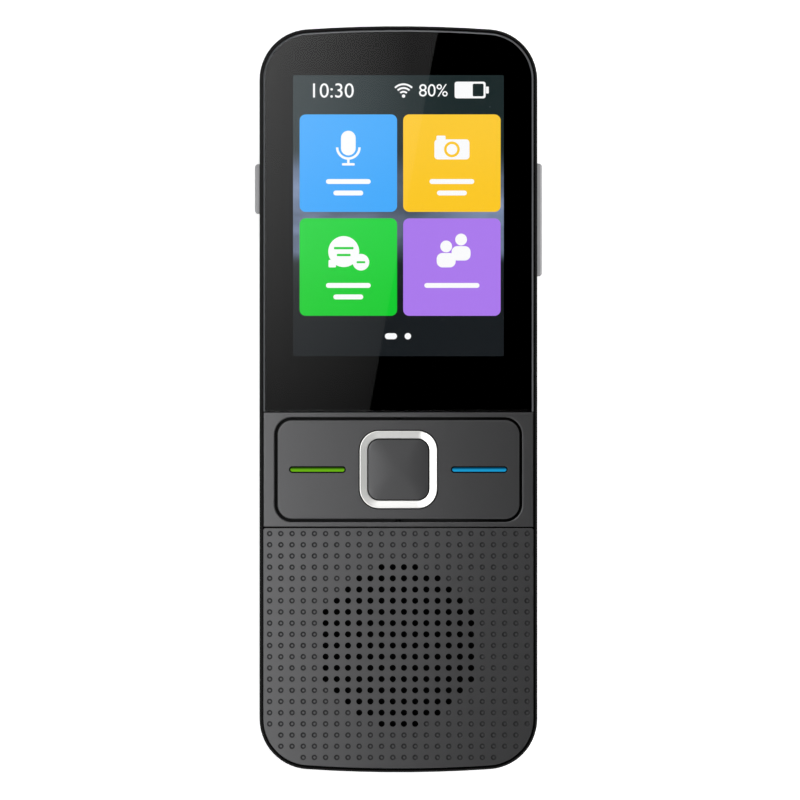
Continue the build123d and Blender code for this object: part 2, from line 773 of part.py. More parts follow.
with BuildPart() as grille_panel:
    with BuildSketch(Plane.XY.offset(deck_top)):
        add(outline_band(panel_inset, -half_length, grille_panel_top))
    extrude(amount=panel_height)
    chamfer(grille_panel.faces().sort_by(Axis.Z)[-1].edges(), panel_chamfer)
    with BuildSketch(Plane.XY.offset(deck_top)):
        with Locations(*grille_points):
            RegularPolygon(grille_hole_radius, grille_hole_sides)
    extrude(amount=panel_height, mode=Mode.SUBTRACT)
write(grille_panel.part, "grille_panel")

# ---- Rocker key with its two light bars ---------------------------------------------
with BuildPart() as rocker_key:
    with BuildSketch(Plane.XY.offset(rocker_under)):
        with Locations((0, key_centre)):
            RectangleRounded(rocker_length, rocker_width, rocker_corner)
    extrude(amount=rocker_plate)
    chamfer(rocker_key.faces().sort_by(Axis.Z)[-1].edges(), rocker_chamfer)
    with BuildSketch(Plane.XY.offset(rocker_under)):
        with Locations((0, key_centre)):
            RectangleRounded(rocker_length, rocker_width, rocker_corner)
            Rectangle(
                rocker_length - 2 * rocker_skirt_wall,
                rocker_width - 2 * rocker_skirt_wall,
                mode=Mode.SUBTRACT,
            )
    extrude(amount=-rocker_skirt)
    with BuildSketch(Plane.XY.offset(rocker_under)):
        with Locations((0, key_centre)):
            RectangleRounded(rocker_opening, rocker_opening, ring_corner + ring_gap)
        with Locations((-bar_offset, key_centre), (bar_offset, key_centre)):
            SlotOverall(bar_length + 2 * bar_gap, bar_width + 2 * bar_gap)
    extrude(amount=rocker_plate, mode=Mode.SUBTRACT)
    with BuildSketch(Plane.XY.offset(rocker_under)):
        with Locations((-rocker_nub_x, rocker_nub_y), (rocker_nub_x, rocker_nub_y)):
            Rectangle(nub_width, nub_width)
    extrude(amount=nub_end - rocker_under)
    for side in (-1, 1):
        with BuildSketch(Plane.XZ.offset(-key_centre - side * (rocker_width / 2 + pivot_reach))):
            with Locations((0, rocker_axis)):
                Circle(pivot_radius)
        extrude(amount=side * (pivot_reach + rocker_skirt_wall))
write(rocker_key.part, "rocker_key")


def light_bar(x):
    """A diffuser bar held by its flange against the underside of the rocker."""
    rim = 2 * (bar_gap + bar_flange_margin)
    with BuildPart() as bar:
        with BuildSketch(Plane.XY.offset(rocker_under)):
            with Locations((x, key_centre)):
                SlotOverall(bar_length, bar_width)
        extrude(amount=rocker_plate - bar_recess)
        with BuildSketch(Plane.XY.offset(rocker_under)):
            with Locations((x, key_centre)):
                Rectangle(bar_length + rim, bar_width + rim)
        extrude(amount=-bar_flange)
    return bar.part


write(light_bar(-bar_offset), "light_bar_left")
write(light_bar(bar_offset), "light_bar_right")

# ---- Silver ring and the centre key inside it ---------------------------------------
with BuildPart() as centre_ring:
    with BuildSketch(Plane.XY.offset(ring_bottom)):
        with Locations((0, key_centre)):
            RectangleRounded(ring_size, ring_size, ring_corner)
            RectangleRounded(ring_opening, ring_opening, ring_opening_corner, mode=Mode.SUBTRACT)
    extrude(amount=ring_height)
    chamfer(centre_ring.faces().sort_by(Axis.Z)[-1].edges(), ring_chamfer)
write(centre_ring.part, "centre_ring")

with BuildPart() as centre_key:
    with BuildSketch(Plane.XY.offset(flange_top)):
        with Locations((0, key_centre)):
            RectangleRounded(key_size, key_size, key_corner)
    extrude(amount=key_top - flange_top)
    chamfer(centre_key.faces().sort_by(Axis.Z)[-1].edges(), key_chamfer)
    with BuildSketch(Plane.XY.offset(flange_top)):
        with Locations((0, key_centre)):
            RectangleRounded(flange_size, flange_size, flange_corner)
    extrude(amount=-key_flange_thickness)
    with BuildSketch(Plane.XY.offset(flange_bottom)):
        with Locations((0, key_centre)):
            Rectangle(nub_width, nub_width)
    extrude(amount=nub_end - flange_bottom)
write(centre_key.part, "centre_key")


# ---- Side keys ----------------------------------------------------------------------
def side_key(side, centre, length, flange_face, nub_offsets):
    """A side key: cap, retaining flange and the nubs that press its domes."""
    outer_face = half_width + side_key_proud
    with BuildPart() as key:
        with BuildSketch(Plane.YZ.offset(side * flange_face)):
            with Locations((centre, side_key_level)):
                Rectangle(length, side_key_height)
        extrude(amount=side * (outer_face - flange_face))
        chamfer(key.faces().sort_by(Axis.X)[-1 if side > 0 else 0].edges(), side_key_chamfer)
        with BuildSketch(Plane.YZ.offset(side * flange_face)):
            with Locations((centre, side_key_level)):
                Rectangle(length + 2 * side_flange_reach, side_key_height)
        extrude(amount=-side * side_flange)
        with BuildSketch(Plane.YZ.offset(side * (flange_face - side_flange))):
            for nub_offset in nub_offsets:
                with Locations((centre + nub_offset, side_key_level)):
                    Rectangle(side_nub_width, side_nub_width)
        extrude(amount=-side * (flange_face - side_flange - side_nub_end))
    return key.part


write(side_key(-1, power_centre, power_length, inner_side, (0,)), "power_key")

volume_nubs = (-volume_dome_offset, volume_dome_offset)
with BuildPart() as volume_key:
    add(side_key(1, volume_centre, volume_length, volume_flange_face, volume_nubs))
    with BuildSketch(Plane.XY.offset(side_key_bottom - volume_pin_reach)):
        with Locations((volume_pin_x, volume_centre)):
            Circle(volume_pin_radius)
    extrude(amount=side_key_height + 2 * volume_pin_reach)
write(volume_key.part, "volume_key")

# ---- Main board ---------------------------------------------------------------------
with BuildPart() as main_board:
    with BuildSketch(Plane.XY.offset(board_back)):
        add(outline_band(wall + board_end_gap, board_bottom, half_length))
        Rectangle(board_width, body_length, mode=Mode.INTERSECT)
        with Locations((-board_screw_x, board_screw_y), (board_screw_x, board_screw_y)):
            Circle(screw_radius + screw_hole_gap, mode=Mode.SUBTRACT)
    extrude(amount=board_thickness)
write(main_board.part, "main_board")

with BuildPart() as board_screws:
    with BuildSketch(Plane.XY.offset(board_back - screw_head_height)):
        with Locations((-board_screw_x, board_screw_y), (board_screw_x, board_screw_y)):
            Circle(screw_head_radius)
    extrude(amount=screw_head_height)
    with BuildSketch(Plane.XY.offset(board_back)):
        with Locations((-board_screw_x, board_screw_y), (board_screw_x, board_screw_y)):
            Circle(screw_radius)
    extrude(amount=screw_length)
write(board_screws.part, "board_screws")

with BuildPart() as processor:
    with BuildSketch(Plane.XY.offset(board_back)):
        with Locations(shield_centre):
            Rectangle(processor_size[0], processor_size[1])
    extrude(amount=-processor_size[2])
write(processor.part, "processor")

with BuildPart() as shield_can:
    with BuildSketch(Plane.XY.offset(board_back)):
        with Locations(shield_centre):
            Rectangle(shield_size[0], shield_size[1])
    extrude(amount=-shield_size[2])
    with BuildSketch(Plane.XY.offset(board_back)):
        with Locations(shield_centre):
            Rectangle(shield_size[0] - 2 * shield_sheet, shield_size[1] - 2 * shield_sheet)
    extrude(amount=shield_sheet - shield_size[2], mode=Mode.SUBTRACT)
write(shield_can.part, "shield_can")

with BuildPart() as indicator_leds:
    with BuildSketch(Plane.XY.offset(board_face)):
        with Locations((-bar_offset, key_centre), (bar_offset, key_centre)):
            Rectangle(led_size[0], led_size[1])
    extrude(amount=led_size[2])
write(indicator_leds.part, "indicator_leds")

write(snap_dome(Plane((-rocker_nub_x, rocker_nub_y, board_face)), dome_radius, dome_taper), "dome_left")
write(snap_dome(Plane((rocker_nub_x, rocker_nub_y, board_face)), dome_radius, dome_taper), "dome_right")
write(snap_dome(Plane((0, key_centre, board_face)), dome_radius, dome_taper), "dome_centre")


# ---- Side switches ------------------------------------------------------------------
def side_dome(side, y):
    """A snap dome on the face of a side switch flex."""
    face = Plane((side * switch_face, y, side_key_level), z_dir=(side, 0, 0))
    return snap_dome(face, side_dome_radius, side_dome_taper)


def side_flex(side, tail_y, strip_centre, strip_length):
    """A flex on the face of a bracket, its tail led under the bracket to the board."""
    face = side * (bracket_face + flex_thickness / 2)
    under = ear_bottom - side_flex_gap - flex_thickness / 2
    landing = board_back - flex_thickness / 2
    tail = flex_strip(
        Plane.XZ.offset(-tail_y),
        (
            (face, side_key_top),
            (face, under),
            (face - side * side_flex_reach, under),
            (face - side * side_flex_reach, landing),
            (face - side * (side_flex_reach + side_flex_landing), landing),
        ),
        switch_width,
    )
    with BuildPart() as flex:
        add(tail)
        with BuildSketch(Plane.YZ.offset(side * bracket_face)):
            with Locations((strip_centre, side_key_level)):
                Rectangle(strip_length, side_key_height)
        extrude(amount=side * flex_thickness)
    return flex.part


write(side_flex(-1, power_centre, power_centre, switch_width), "power_flex")
write(side_dome(-1, power_centre), "dome_power")
write(
    side_flex(1, volume_centre - volume_dome_offset, volume_centre, switch_width + 2 * volume_dome_offset),
    "volume_flex",
)
write(side_dome(1, volume_centre + volume_dome_offset), "dome_volume_up")
write(side_dome(1, volume_centre - volume_dome_offset), "dome_volume_down")

# ---- Battery ------------------------------------------------------------------------
with BuildPart() as battery:
    with BuildSketch(Plane.XY.offset(battery_bottom)):
        with Locations((0, battery_centre)):
            Rectangle(battery_width, battery_length)
    extrude(amount=battery_thickness)
write(battery.part, "battery")

with BuildPart() as battery_tapes:
    with BuildSketch(Plane.XY.offset(wall)):
        with Locations((-battery_width / 4, battery_centre), (battery_width / 4, battery_centre)):
            Rectangle(battery_tape_width, battery_length - 2 * battery_tape_inset)
    extrude(amount=battery_tape_thickness)
write(battery_tapes.part, "battery_tapes")

battery_landing = board_back - battery_plug_size[2] - flex_thickness / 2
battery_flex = flex_strip(
    Plane.YZ,
    (
        (battery_end, battery_bottom + battery_flex_level),
        (battery_end - battery_flex_gap, battery_bottom + battery_flex_level),
        (battery_end - battery_flex_gap, battery_landing),
        (battery_plug_y - battery_plug_size[1] / 2, battery_landing),
    ),
    battery_flex_width,
)
write(battery_flex, "battery_flex")

with BuildPart() as battery_plug:
    with BuildSketch(Plane.XY.offset(board_back)):
        with Locations((0, battery_plug_y)):
            Rectangle(battery_plug_size[0], battery_plug_size[1])
    extrude(amount=-battery_plug_size[2])
write(battery_plug.part, "battery_plug")

# ---- Speaker ------------------------------------------------------------------------
with BuildPart() as speaker_cloth:
    with BuildSketch(Plane.XY.offset(deck_top)):
        with Locations((0, grille_centre)):
            cut_corner_square(cloth_half)
    extrude(amount=-cloth_thickness)
write(speaker_cloth.part, "speaker_cloth")

with BuildPart() as speaker_gasket:
    with BuildSketch(Plane.XY.offset(speaker_face)):
        with Locations((0, grille_centre)):
            cut_corner_square(speaker_half)
            cut_corner_square(sound_half, mode=Mode.SUBTRACT)
    extrude(amount=speaker_gasket_thickness)
write(speaker_gasket.part, "speaker_gasket")

basket_half = speaker_half - basket_inset
with BuildPart() as speaker_basket:
    with BuildSketch(Plane.XY.offset(rim_bottom)):
        with Locations((0, grille_centre)):
            cut_corner_square(speaker_half)
    extrude(amount=speaker_rim)
    with BuildSketch(Plane.XY.offset(rim_bottom)):
        with Locations((0, grille_centre)):
            cut_corner_square(basket_half)
    extrude(amount=-basket_depth, taper=basket_taper)
    with BuildSketch(Plane.XY.offset(rim_bottom)):
        with Locations((0, grille_centre)):
            cut_corner_square(basket_half - 2 * basket_sheet)
    extrude(amount=speaker_rim, mode=Mode.SUBTRACT)
    with BuildSketch(Plane.XY.offset(rim_bottom)):
        with Locations((0, grille_centre)):
            cut_corner_square(basket_half - 2 * basket_sheet)
    extrude(amount=basket_sheet - basket_depth, taper=basket_taper, mode=Mode.SUBTRACT)
write(speaker_basket.part, "speaker_basket")

with BuildPart() as speaker_magnet:
    with BuildSketch(Plane.XY.offset(basket_bottom)):
        with Locations((0, grille_centre)):
            Circle(magnet_radius)
    extrude(amount=-magnet_height)
write(speaker_magnet.part, "speaker_magnet")

with BuildPart() as speaker_cone:
    with BuildSketch(Plane.XY.offset(speaker_face)):
        with Locations((0, grille_centre)):
            Circle(speaker_half - diaphragm_margin)
    extrude(amount=diaphragm_thickness)
    with BuildSketch(Plane.XY.offset(speaker_face)):
        with Locations((0, grille_centre)):
            Circle(coil_radius)
    extrude(amount=basket_bottom + basket_sheet + coil_gap - speaker_face)
write(speaker_cone.part, "speaker_cone")

speaker_edge = grille_centre + speaker_half
speaker_flex_top = rim_bottom - flex_thickness / 2
speaker_flex_foot = board_back - flex_thickness / 2
speaker_flex = flex_strip(
    Plane.YZ.offset(speaker_flex_x),
    (
        (speaker_edge - speaker_flex_landing, speaker_flex_top),
        (speaker_edge + board_speaker_gap / 2, speaker_flex_top),
        (speaker_edge + board_speaker_gap / 2, speaker_flex_foot),
        (board_bottom + board_flex_landing, speaker_flex_foot),
    ),
    speaker_flex_width,
)
write(speaker_flex, "speaker_flex")

# ---- USB-C socket and its board -----------------------------------------------------
usb_board_left = usb_board_side_gap - half_width
with BuildPart() as usb_board:
    with BuildSketch(Plane.XY.offset(usb_board_back)):
        with Locations(
            ((usb_board_step + usb_board_right) / 2, (usb_board_top + usb_board_bottom) / 2 - half_length)
        ):
            Rectangle(usb_board_right - usb_board_step, usb_board_top - usb_board_bottom)
        with Locations(
            ((usb_board_left + usb_board_right) / 2, (usb_board_top + usb_board_shoulder) / 2 - half_length)
        ):
            Rectangle(usb_board_right - usb_board_left, usb_board_top - usb_board_shoulder)
        with Locations((-stake_x, stake_y), (stake_x, stake_y)):
            Rectangle(stake_width + 2 * stake_gap, stake_width + 2 * stake_gap, mode=Mode.SUBTRACT)
    extrude(amount=usb_board_thickness)
write(usb_board.part, "usb_board")

with BuildPart() as usb_shell:
    with BuildSketch(Plane.XZ.offset(-usb_back)):
        with Locations((0, usb_level)):
            SlotOverall(usb_width, usb_height)
    extrude(amount=usb_length)
    with BuildSketch(Plane.XZ.offset(-usb_mouth)):
        with Locations((0, usb_level)):
            SlotOverall(usb_width - 2 * usb_sheet, usb_height - 2 * usb_sheet)
    extrude(amount=-(usb_length - usb_back_wall), mode=Mode.SUBTRACT)
write(usb_shell.part, "usb_shell")

with BuildPart() as usb_tongue:
    with BuildSketch(Plane.XZ.offset(-(usb_back - usb_back_wall))):
        with Locations((0, usb_level)):
            Rectangle(usb_tongue_size[0], usb_tongue_size[2])
    extrude(amount=usb_tongue_size[1])
write(usb_tongue.part, "usb_tongue")

usb_flex_low = usb_board_face + flex_thickness / 2
usb_flex_high = board_back - usb_plug_size[2] - flex_thickness / 2
usb_flex = flex_strip(
    Plane.YZ.offset(usb_flex_x),
    (
        (usb_board_edge - usb_flex_landing, usb_flex_low),
        (usb_board_edge + usb_flex_rise[0], usb_flex_low),
        (usb_board_edge + usb_flex_rise[1], usb_flex_high),
        (usb_plug_y + usb_plug_size[1] / 2, usb_flex_high),
    ),
    usb_flex_width,
)
write(usb_flex, "usb_flex")

with BuildPart() as usb_plug:
    with BuildSketch(Plane.XY.offset(board_back)):
        with Locations((usb_flex_x, usb_plug_y)):
            Rectangle(usb_plug_size[0], usb_plug_size[1])
    extrude(amount=-usb_plug_size[2])
write(usb_plug.part, "usb_plug")

# ---- Microphone ---------------------------------------------------------------------
with BuildPart() as microphone:
    with BuildSketch(Plane.XZ.offset(-microphone_face)):
        with Locations((microphone_x, usb_level)):
            Circle(microphone_radius)
    extrude(amount=-microphone_length)
write(microphone.part, "microphone")

with BuildPart() as microphone_boot:
    with BuildSketch(Plane.XZ.offset(-pad_face)):
        with Locations((microphone_x, usb_level)):
            Rectangle(boot_width, boot_width)
            Rectangle(boot_port_width, boot_port_width, mode=Mode.SUBTRACT)
    extrude(amount=-boot_lip)
    with BuildSketch(Plane.XZ.offset(-microphone_face)):
        with Locations((microphone_x, usb_level)):
            Rectangle(boot_width, boot_width)
            Circle(microphone_radius, mode=Mode.SUBTRACT)
    extrude(amount=-microphone_length)
write(microphone_boot.part, "microphone_boot")

microphone_flex_y = microphone_back + flex_thickness / 2
microphone_flex = flex_strip(
    Plane.YZ.offset(microphone_x),
    (
        (microphone_flex_y, usb_level + microphone_radius / 2),
        (microphone_flex_y, usb_board_face + flex_thickness / 2),
        (usb_board_shoulder - half_length + microphone_flex_landing, usb_board_face + flex_thickness / 2),
    ),
    microphone_flex_width,
)
write(microphone_flex, "microphone_flex")

# ---- Camera and flash ---------------------------------------------------------------
with BuildPart() as camera_module:
    with BuildSketch(Plane.XY.offset(camera_bottom)):
        with Locations((camera_x, camera_y)):
            Rectangle(camera_size, camera_size)
    extrude(amount=camera_body_height)
    with BuildSketch(Plane.XY.offset(camera_bottom)):
        with Locations((camera_x, camera_y)):
            Circle(barrel_radius)
    extrude(amount=window_face + lens_seat - camera_bottom)
    with BuildSketch(Plane.XY.offset(window_face + lens_seat)):
        with Locations((camera_x, camera_y)):
            Circle(lens_radius)
    extrude(amount=lens_thickness, mode=Mode.SUBTRACT)
write(camera_module.part, "camera_module")

with BuildPart() as camera_lens:
    with BuildSketch(Plane.XY.offset(window_face + lens_seat)):
        with Locations((camera_x, camera_y)):
            Circle(lens_radius)
    extrude(amount=lens_thickness)
write(camera_lens.part, "camera_lens")

with BuildPart() as camera_window:
    with BuildSketch(Plane.XY.offset(window_recess)):
        with Locations((0, camera_y)):
            SlotOverall(window_length, window_width)
    extrude(amount=window_thickness)
write(camera_window.part, "camera_window")

with BuildPart() as flash_led:
    with BuildSketch(Plane.XY.offset(board_back)):
        with Locations((flash_x, camera_y)):
            Rectangle(flash_led_size[0], flash_led_size[1])
    extrude(amount=-flash_led_size[2])
write(flash_led.part, "flash_led")

with BuildPart() as flash_guide:
    with BuildSketch(Plane.XY.offset(window_face)):
        with Locations((flash_x, camera_y)):
            Circle(guide_radius)
    extrude(amount=board_back - flash_led_size[2] - window_face)
    with BuildSketch(Plane.XY.offset(wall)):
        with Locations((flash_x, camera_y)):
            Rectangle(2 * (guide_radius + guide_flange), 2 * (guide_radius + guide_flange))
    extrude(amount=guide_flange_thickness)
write(flash_guide.part, "flash_guide")

# ---- Antenna ------------------------------------------------------------------------
with BuildPart() as antenna:
    with BuildSketch(Plane.XY.offset(deck_bottom)):
        with Locations((0, antenna_y)):
            Rectangle(antenna_size[0], antenna_size[1])
    extrude(amount=-antenna_size[2])
write(antenna.part, "antenna")

spring_foot = board_face + flex_thickness / 2
spring_head = deck_bottom - antenna_size[2] - flex_thickness / 2
antenna_springs = Compound(
    children=[
        flex_strip(
            Plane.YZ.offset(x),
            (
                (antenna_y + spring_reach, spring_foot),
                (antenna_y - spring_reach, spring_foot),
                (antenna_y - spring_reach, spring_head),
                (antenna_y + spring_reach, spring_head),
            ),
            spring_width,
        )
        for x in (-spring_x, spring_x)
    ]
)
write(antenna_springs, "antenna_springs")
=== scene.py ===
"""Looks of a handheld voice translator, built around its CAD frame.

Lengths are in millimetres throughout and become metres when a mesh is written. +Z comes out of
the screen, +Y points to the top end, and +X is to the right as the screen is read.
"""

import json
import logging
import math
from dataclasses import dataclass
from enum import Enum

import bmesh
import bpy
import numpy as np
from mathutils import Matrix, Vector
from mathutils.geometry import delaunay_2d_cdt

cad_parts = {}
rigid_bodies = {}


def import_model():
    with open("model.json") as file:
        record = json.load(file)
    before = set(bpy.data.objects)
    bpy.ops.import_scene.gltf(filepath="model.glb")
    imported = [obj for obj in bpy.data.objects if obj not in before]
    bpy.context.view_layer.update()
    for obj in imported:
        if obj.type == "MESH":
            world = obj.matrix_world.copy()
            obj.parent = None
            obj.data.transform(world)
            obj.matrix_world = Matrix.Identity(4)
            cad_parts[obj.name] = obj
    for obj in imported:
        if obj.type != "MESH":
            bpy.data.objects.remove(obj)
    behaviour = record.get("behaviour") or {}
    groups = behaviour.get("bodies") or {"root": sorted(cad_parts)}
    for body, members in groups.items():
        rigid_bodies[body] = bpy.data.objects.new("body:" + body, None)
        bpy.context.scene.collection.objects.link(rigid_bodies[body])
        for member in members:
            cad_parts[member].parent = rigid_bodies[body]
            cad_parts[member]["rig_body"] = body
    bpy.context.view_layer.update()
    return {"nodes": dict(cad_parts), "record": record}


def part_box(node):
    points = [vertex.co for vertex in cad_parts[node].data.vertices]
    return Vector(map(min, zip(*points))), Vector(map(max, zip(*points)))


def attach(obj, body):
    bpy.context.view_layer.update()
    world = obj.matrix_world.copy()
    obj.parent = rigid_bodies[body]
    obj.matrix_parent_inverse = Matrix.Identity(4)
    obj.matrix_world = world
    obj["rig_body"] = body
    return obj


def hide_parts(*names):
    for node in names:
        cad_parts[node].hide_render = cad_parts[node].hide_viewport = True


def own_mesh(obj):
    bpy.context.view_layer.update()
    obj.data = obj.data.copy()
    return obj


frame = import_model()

MM = 0.001
# Points of a made piece, and of a copied one, that are closer than this are merged.
MERGE = 0.0005
COPY_MERGE = 0.001
# Edges stay sharp above the first angle, and a copy's faces that turn by less than the second
# are joined.
SHARP_ANGLE = math.radians(32)
FLAT_ANGLE = math.radians(0.6)
LOG = logging.getLogger("translator")


# ---- Shapes -------------------------------------------------------------------------
@dataclass(frozen=True)
class Box:
    """The box of a CAD node at rest, in millimetres."""

    low: np.ndarray
    high: np.ndarray

    @property
    def centre(self) -> np.ndarray:
        """The middle of the box."""
        return (self.low + self.high) / 2

    @property
    def size(self) -> np.ndarray:
        """The box's three lengths."""
        return self.high - self.low


def node_box(node: str) -> Box:
    """The box of a CAD node.

    Args:
        node: the node's name.

    Returns:
        Its box in millimetres.
    """
    low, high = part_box(node)
    return Box(np.array(low) / MM, np.array(high) / MM)


@dataclass(frozen=True)
class Outline:
    """A closed plane curve, anticlockwise, with the outward unit normal at each point."""

    points: np.ndarray
    normals: np.ndarray

    def inset(self, distance: float) -> np.ndarray:
        """The curve moved inwards: each point less that distance along its normal."""
        return self.points - distance * self.normals

    def moved(self, x: float, y: float) -> "Outline":
        """The same curve in another place."""
        return Outline(self.points + np.array([x, y]), self.normals)


@dataclass(frozen=True)
class Surface:
    """Vertices in millimetres, faces as integer arrays with a row for each face, and for each
    of those arrays the number of the material that its faces take (0 where none is given)."""

    vertices: np.ndarray
    faces: list[np.ndarray]
    paints: tuple[int, ...] = ()

    def painted(self, paint: int) -> "Surface":
        """The same surface in another of its piece's materials."""
        return Surface(self.vertices, self.faces, (paint,) * len(self.faces))

    def face_paints(self) -> np.ndarray:
        """The material number of every face, in order."""
        paints = self.paints or (0,) * len(self.faces)
        return np.repeat(np.array(paints, np.int32), [len(rows) for rows in self.faces])

    def stamped(self, places: np.ndarray) -> "Surface":
        """One copy of the surface at each place, by adding each place to every vertex.

        Args:
            places: an array of plane points, one row for each copy.

        Returns:
            All the copies as one surface.
        """
        shifts = np.column_stack([places, np.zeros(len(places))])
        vertices = (self.vertices[None] + shifts[:, None]).reshape(-1, 3)
        starts = np.arange(len(places))[:, None, None] * len(self.vertices)
        faces = [(rows[None] + starts).reshape(-1, rows.shape[1]) for rows in self.faces]
        return Surface(vertices, faces, self.paints)


def arcs(*pieces: tuple[float, float, float, float, float, int]) -> Outline:
    """A closed curve of arcs that meet tangentially or by straight runs.

    A point on an arc is its centre plus its radius times (cos t, sin t), and the outward
    normal there is (cos t, sin t), so an inset is exact at each point.

    Args:
        pieces: for each arc its centre x and y, radius, start and end in degrees, and steps.

    Returns:
        The outline.
    """
    points, normals = [], []
    for x, y, radius, start, end, steps in pieces:
        angle = np.radians(np.linspace(start, end, steps + 1))
        normal = np.column_stack([np.cos(angle), np.sin(angle)])
        points.append(np.array([x, y]) + radius * normal)
        normals.append(normal)
    curve, outward = np.vstack(points), np.vstack(normals)
    # Where two arcs touch, their shared point is kept once.
    apart = np.abs(curve - np.roll(curve, 1, axis=0)).max(axis=1) > 1e-6
    return Outline(curve[apart], outward[apart])


def rounded_rectangle(width: float, height: float, radius: float, steps: int = 8) -> Outline:
    """A rectangle about the origin with rounded corners: four quarter arcs."""
    x, y = width / 2 - radius, height / 2 - radius
    return arcs(
        (x, y, radius, 0, 90, steps),
        (-x, y, radius, 90, 180, steps),
        (-x, -y, radius, 180, 270, steps),
        (x, -y, radius, 270, 360, steps),
    )


def pill(length: float, width: float, steps: int = 10) -> Outline:
    """A strip about the origin with half-round ends."""
    reach = (length - width) / 2
    return arcs((reach, 0, width / 2, -90, 90, steps), (-reach, 0, width / 2, 90, 270, steps))


def circle(radius: float, steps: int = 24) -> Outline:
    """A circle about the origin, with that many points."""
    angle = np.linspace(0, 2 * np.pi, steps, endpoint=False)
    normal = np.column_stack([np.cos(angle), np.sin(angle)])
    return Outline(radius * normal, normal)


def join(*surfaces: Surface) -> Surface:
    """Several surfaces as one, with each one's face indices moved up by the vertices before it."""
    counts = [len(surface.vertices) for surface in surfaces]
    starts = np.cumsum([0] + counts[:-1])
    faces = [rows + start for surface, start in zip(surfaces, starts) for rows in surface.faces]
    paints = [surface.paints or (0,) * len(surface.faces) for surface in surfaces]
    vertices = np.vstack([surface.vertices for surface in surfaces])
    return Surface(vertices, faces, tuple(paint for row in paints for paint in row))


def loft(rings: np.ndarray) -> Surface:
    """A skin over closed rings.

    Vertex (i, j) is point j of ring i, and each face joins (i, j), (i, j+1), (i+1, j+1) and
    (i+1, j), with j wrapped round.

    Args:
        rings: an array of rings by points by 3.

    Returns:
        The skin.
    """
    rows, count = rings.shape[:2]
    row = np.arange(rows - 1)[:, None] * count
    here = np.arange(count)[None]
    after = (here + 1) % count
    quads = np.stack([row + here, row + after, row + count + after, row + count + here], -1)
    return Surface(rings.reshape(-1, 3), [quads.reshape(-1, 4)])


def wall(outline: Outline, profile: np.ndarray) -> Surface:
    """A profile carried round an outline: point (i, j) is outline point j moved inwards by the
    profile's inset i, at the profile's height i.

    Args:
        outline: the curve to follow.
        profile: rows of inset and height.

    Returns:
        The skin.
    """
    plane = outline.points[None] - profile[:, :1, None] * outline.normals[None]
    height = np.broadcast_to(profile[:, 1, None, None], plane.shape[:2] + (1,))
    return loft(np.concatenate([plane, height], axis=2))


def rounded_edge(top: float, bottom: float, edge: float, steps: int = 4) -> np.ndarray:
    """A profile down a side whose upper edge is a quarter round.

    The round is inset edge * (1 - sin t), height top - edge * (1 - cos t) for t from 0 to a
    quarter turn.

    Args:
        top: the height of the upper face.
        bottom: the height of the lower face.
        edge: the radius of the round.
        steps: how many facets the round has.

    Returns:
        Rows of inset and height.
    """
    turn = np.linspace(0, np.pi / 2, steps + 1)
    inset = edge * (1 - np.sin(turn))
    height = top - edge * (1 - np.cos(turn))
    return np.vstack([np.column_stack([inset, height]), [0, bottom]])


def flat_face(loops: list[np.ndarray], height: float) -> Surface:
    """A level face with holes: a constrained triangulation of the loops, of which the first is
    the outer one.

    Args:
        loops: the plane points of each closed loop.
        height: the level of the face.

    Returns:
        The face as triangles.
    """
    edges, start = [], 0
    for loop in loops:
        index = np.arange(len(loop))
        edges.append(np.column_stack([index, np.roll(index, -1)]) + start)
        start += len(loop)
    points = [Vector(point) for point in np.vstack(loops).tolist()]
    made = delaunay_2d_cdt(points, np.vstack(edges).tolist(), [], 1, 1e-5)
    plane = np.array([tuple(point) for point in made[0]])
    # Every hole is convex, so a triangle with all its corners on one hole's loop fills it.
    loop_of = np.repeat(np.arange(len(loops)), [len(loop) for loop in loops])
    owner = loop_of[[first[0] for first in made[3]]][np.array(made[2])]
    filled = (owner.min(axis=1) == owner.max(axis=1)) & (owner[:, 0] > 0)
    level = np.full((len(plane), 1), height)
    return Surface(np.hstack([plane, level]), [np.array(made[2])[~filled]])


def plate(
    outline: Outline,
    bottom: float,
    top: float,
    edge: float = 0.0,
    holes: tuple[Outline, ...] = (),
    hole_paint: int = 0,
    pockets: tuple[Outline, ...] = (),
) -> Surface:
    """A closed plate with a rounded upper edge and sharp holes.

    Args:
        outline: the plate's outer curve.
        bottom: the height of its lower face.
        top: the height of its upper face.
        edge: the radius of its upper outer edge.
        holes: curves of the openings that go through it.
        hole_paint: the number of the material on the holes' walls.
        pockets: curves left open in the upper face, which another surface closes.

    Returns:
        The plate.
    """
    steps = 4 if edge else 1
    outer = wall(outline, rounded_edge(top, bottom, edge, steps))
    upright = np.array([[0, top], [0, bottom]])
    inner = [wall(hole, upright).painted(hole_paint) for hole in holes]
    openings = [hole.points for hole in holes]
    upper = [outline.inset(edge), *openings, *[pocket.points for pocket in pockets]]
    lower = [outline.points, *openings]
    return join(flat_face(upper, top), flat_face(lower, bottom), outer, *inner)


def dome(outline: Outline, bottom: float, top: float, edge: float, crown: float) -> Surface:
    """A closed cap whose upper face bulges: ring k is the outline scaled by s about its middle,
    at the height top - crown * s squared.

    Args:
        outline: the cap's outer curve.
        bottom: the height of its lower face.
        top: the height of the middle of its upper face.
        edge: the radius of its upper edge.
        crown: how far the face falls from its middle to its edge.

    Returns:
        The cap.
    """
    middle = outline.points.mean(axis=0)
    side = wall(outline, rounded_edge(top - crown, bottom, edge))
    scale = np.linspace(1, 0.04, 10)[:, None, None]
    plane = middle + scale * (outline.inset(edge) - middle)
    height = np.broadcast_to(top - crown * scale**2, plane.shape[:2] + (1,))
    skin = loft(np.concatenate([plane, height], axis=2))
    cap = flat_face([plane[-1]], float(height[-1, 0, 0]))
    return join(side, skin, cap, flat_face([outline.points], bottom))


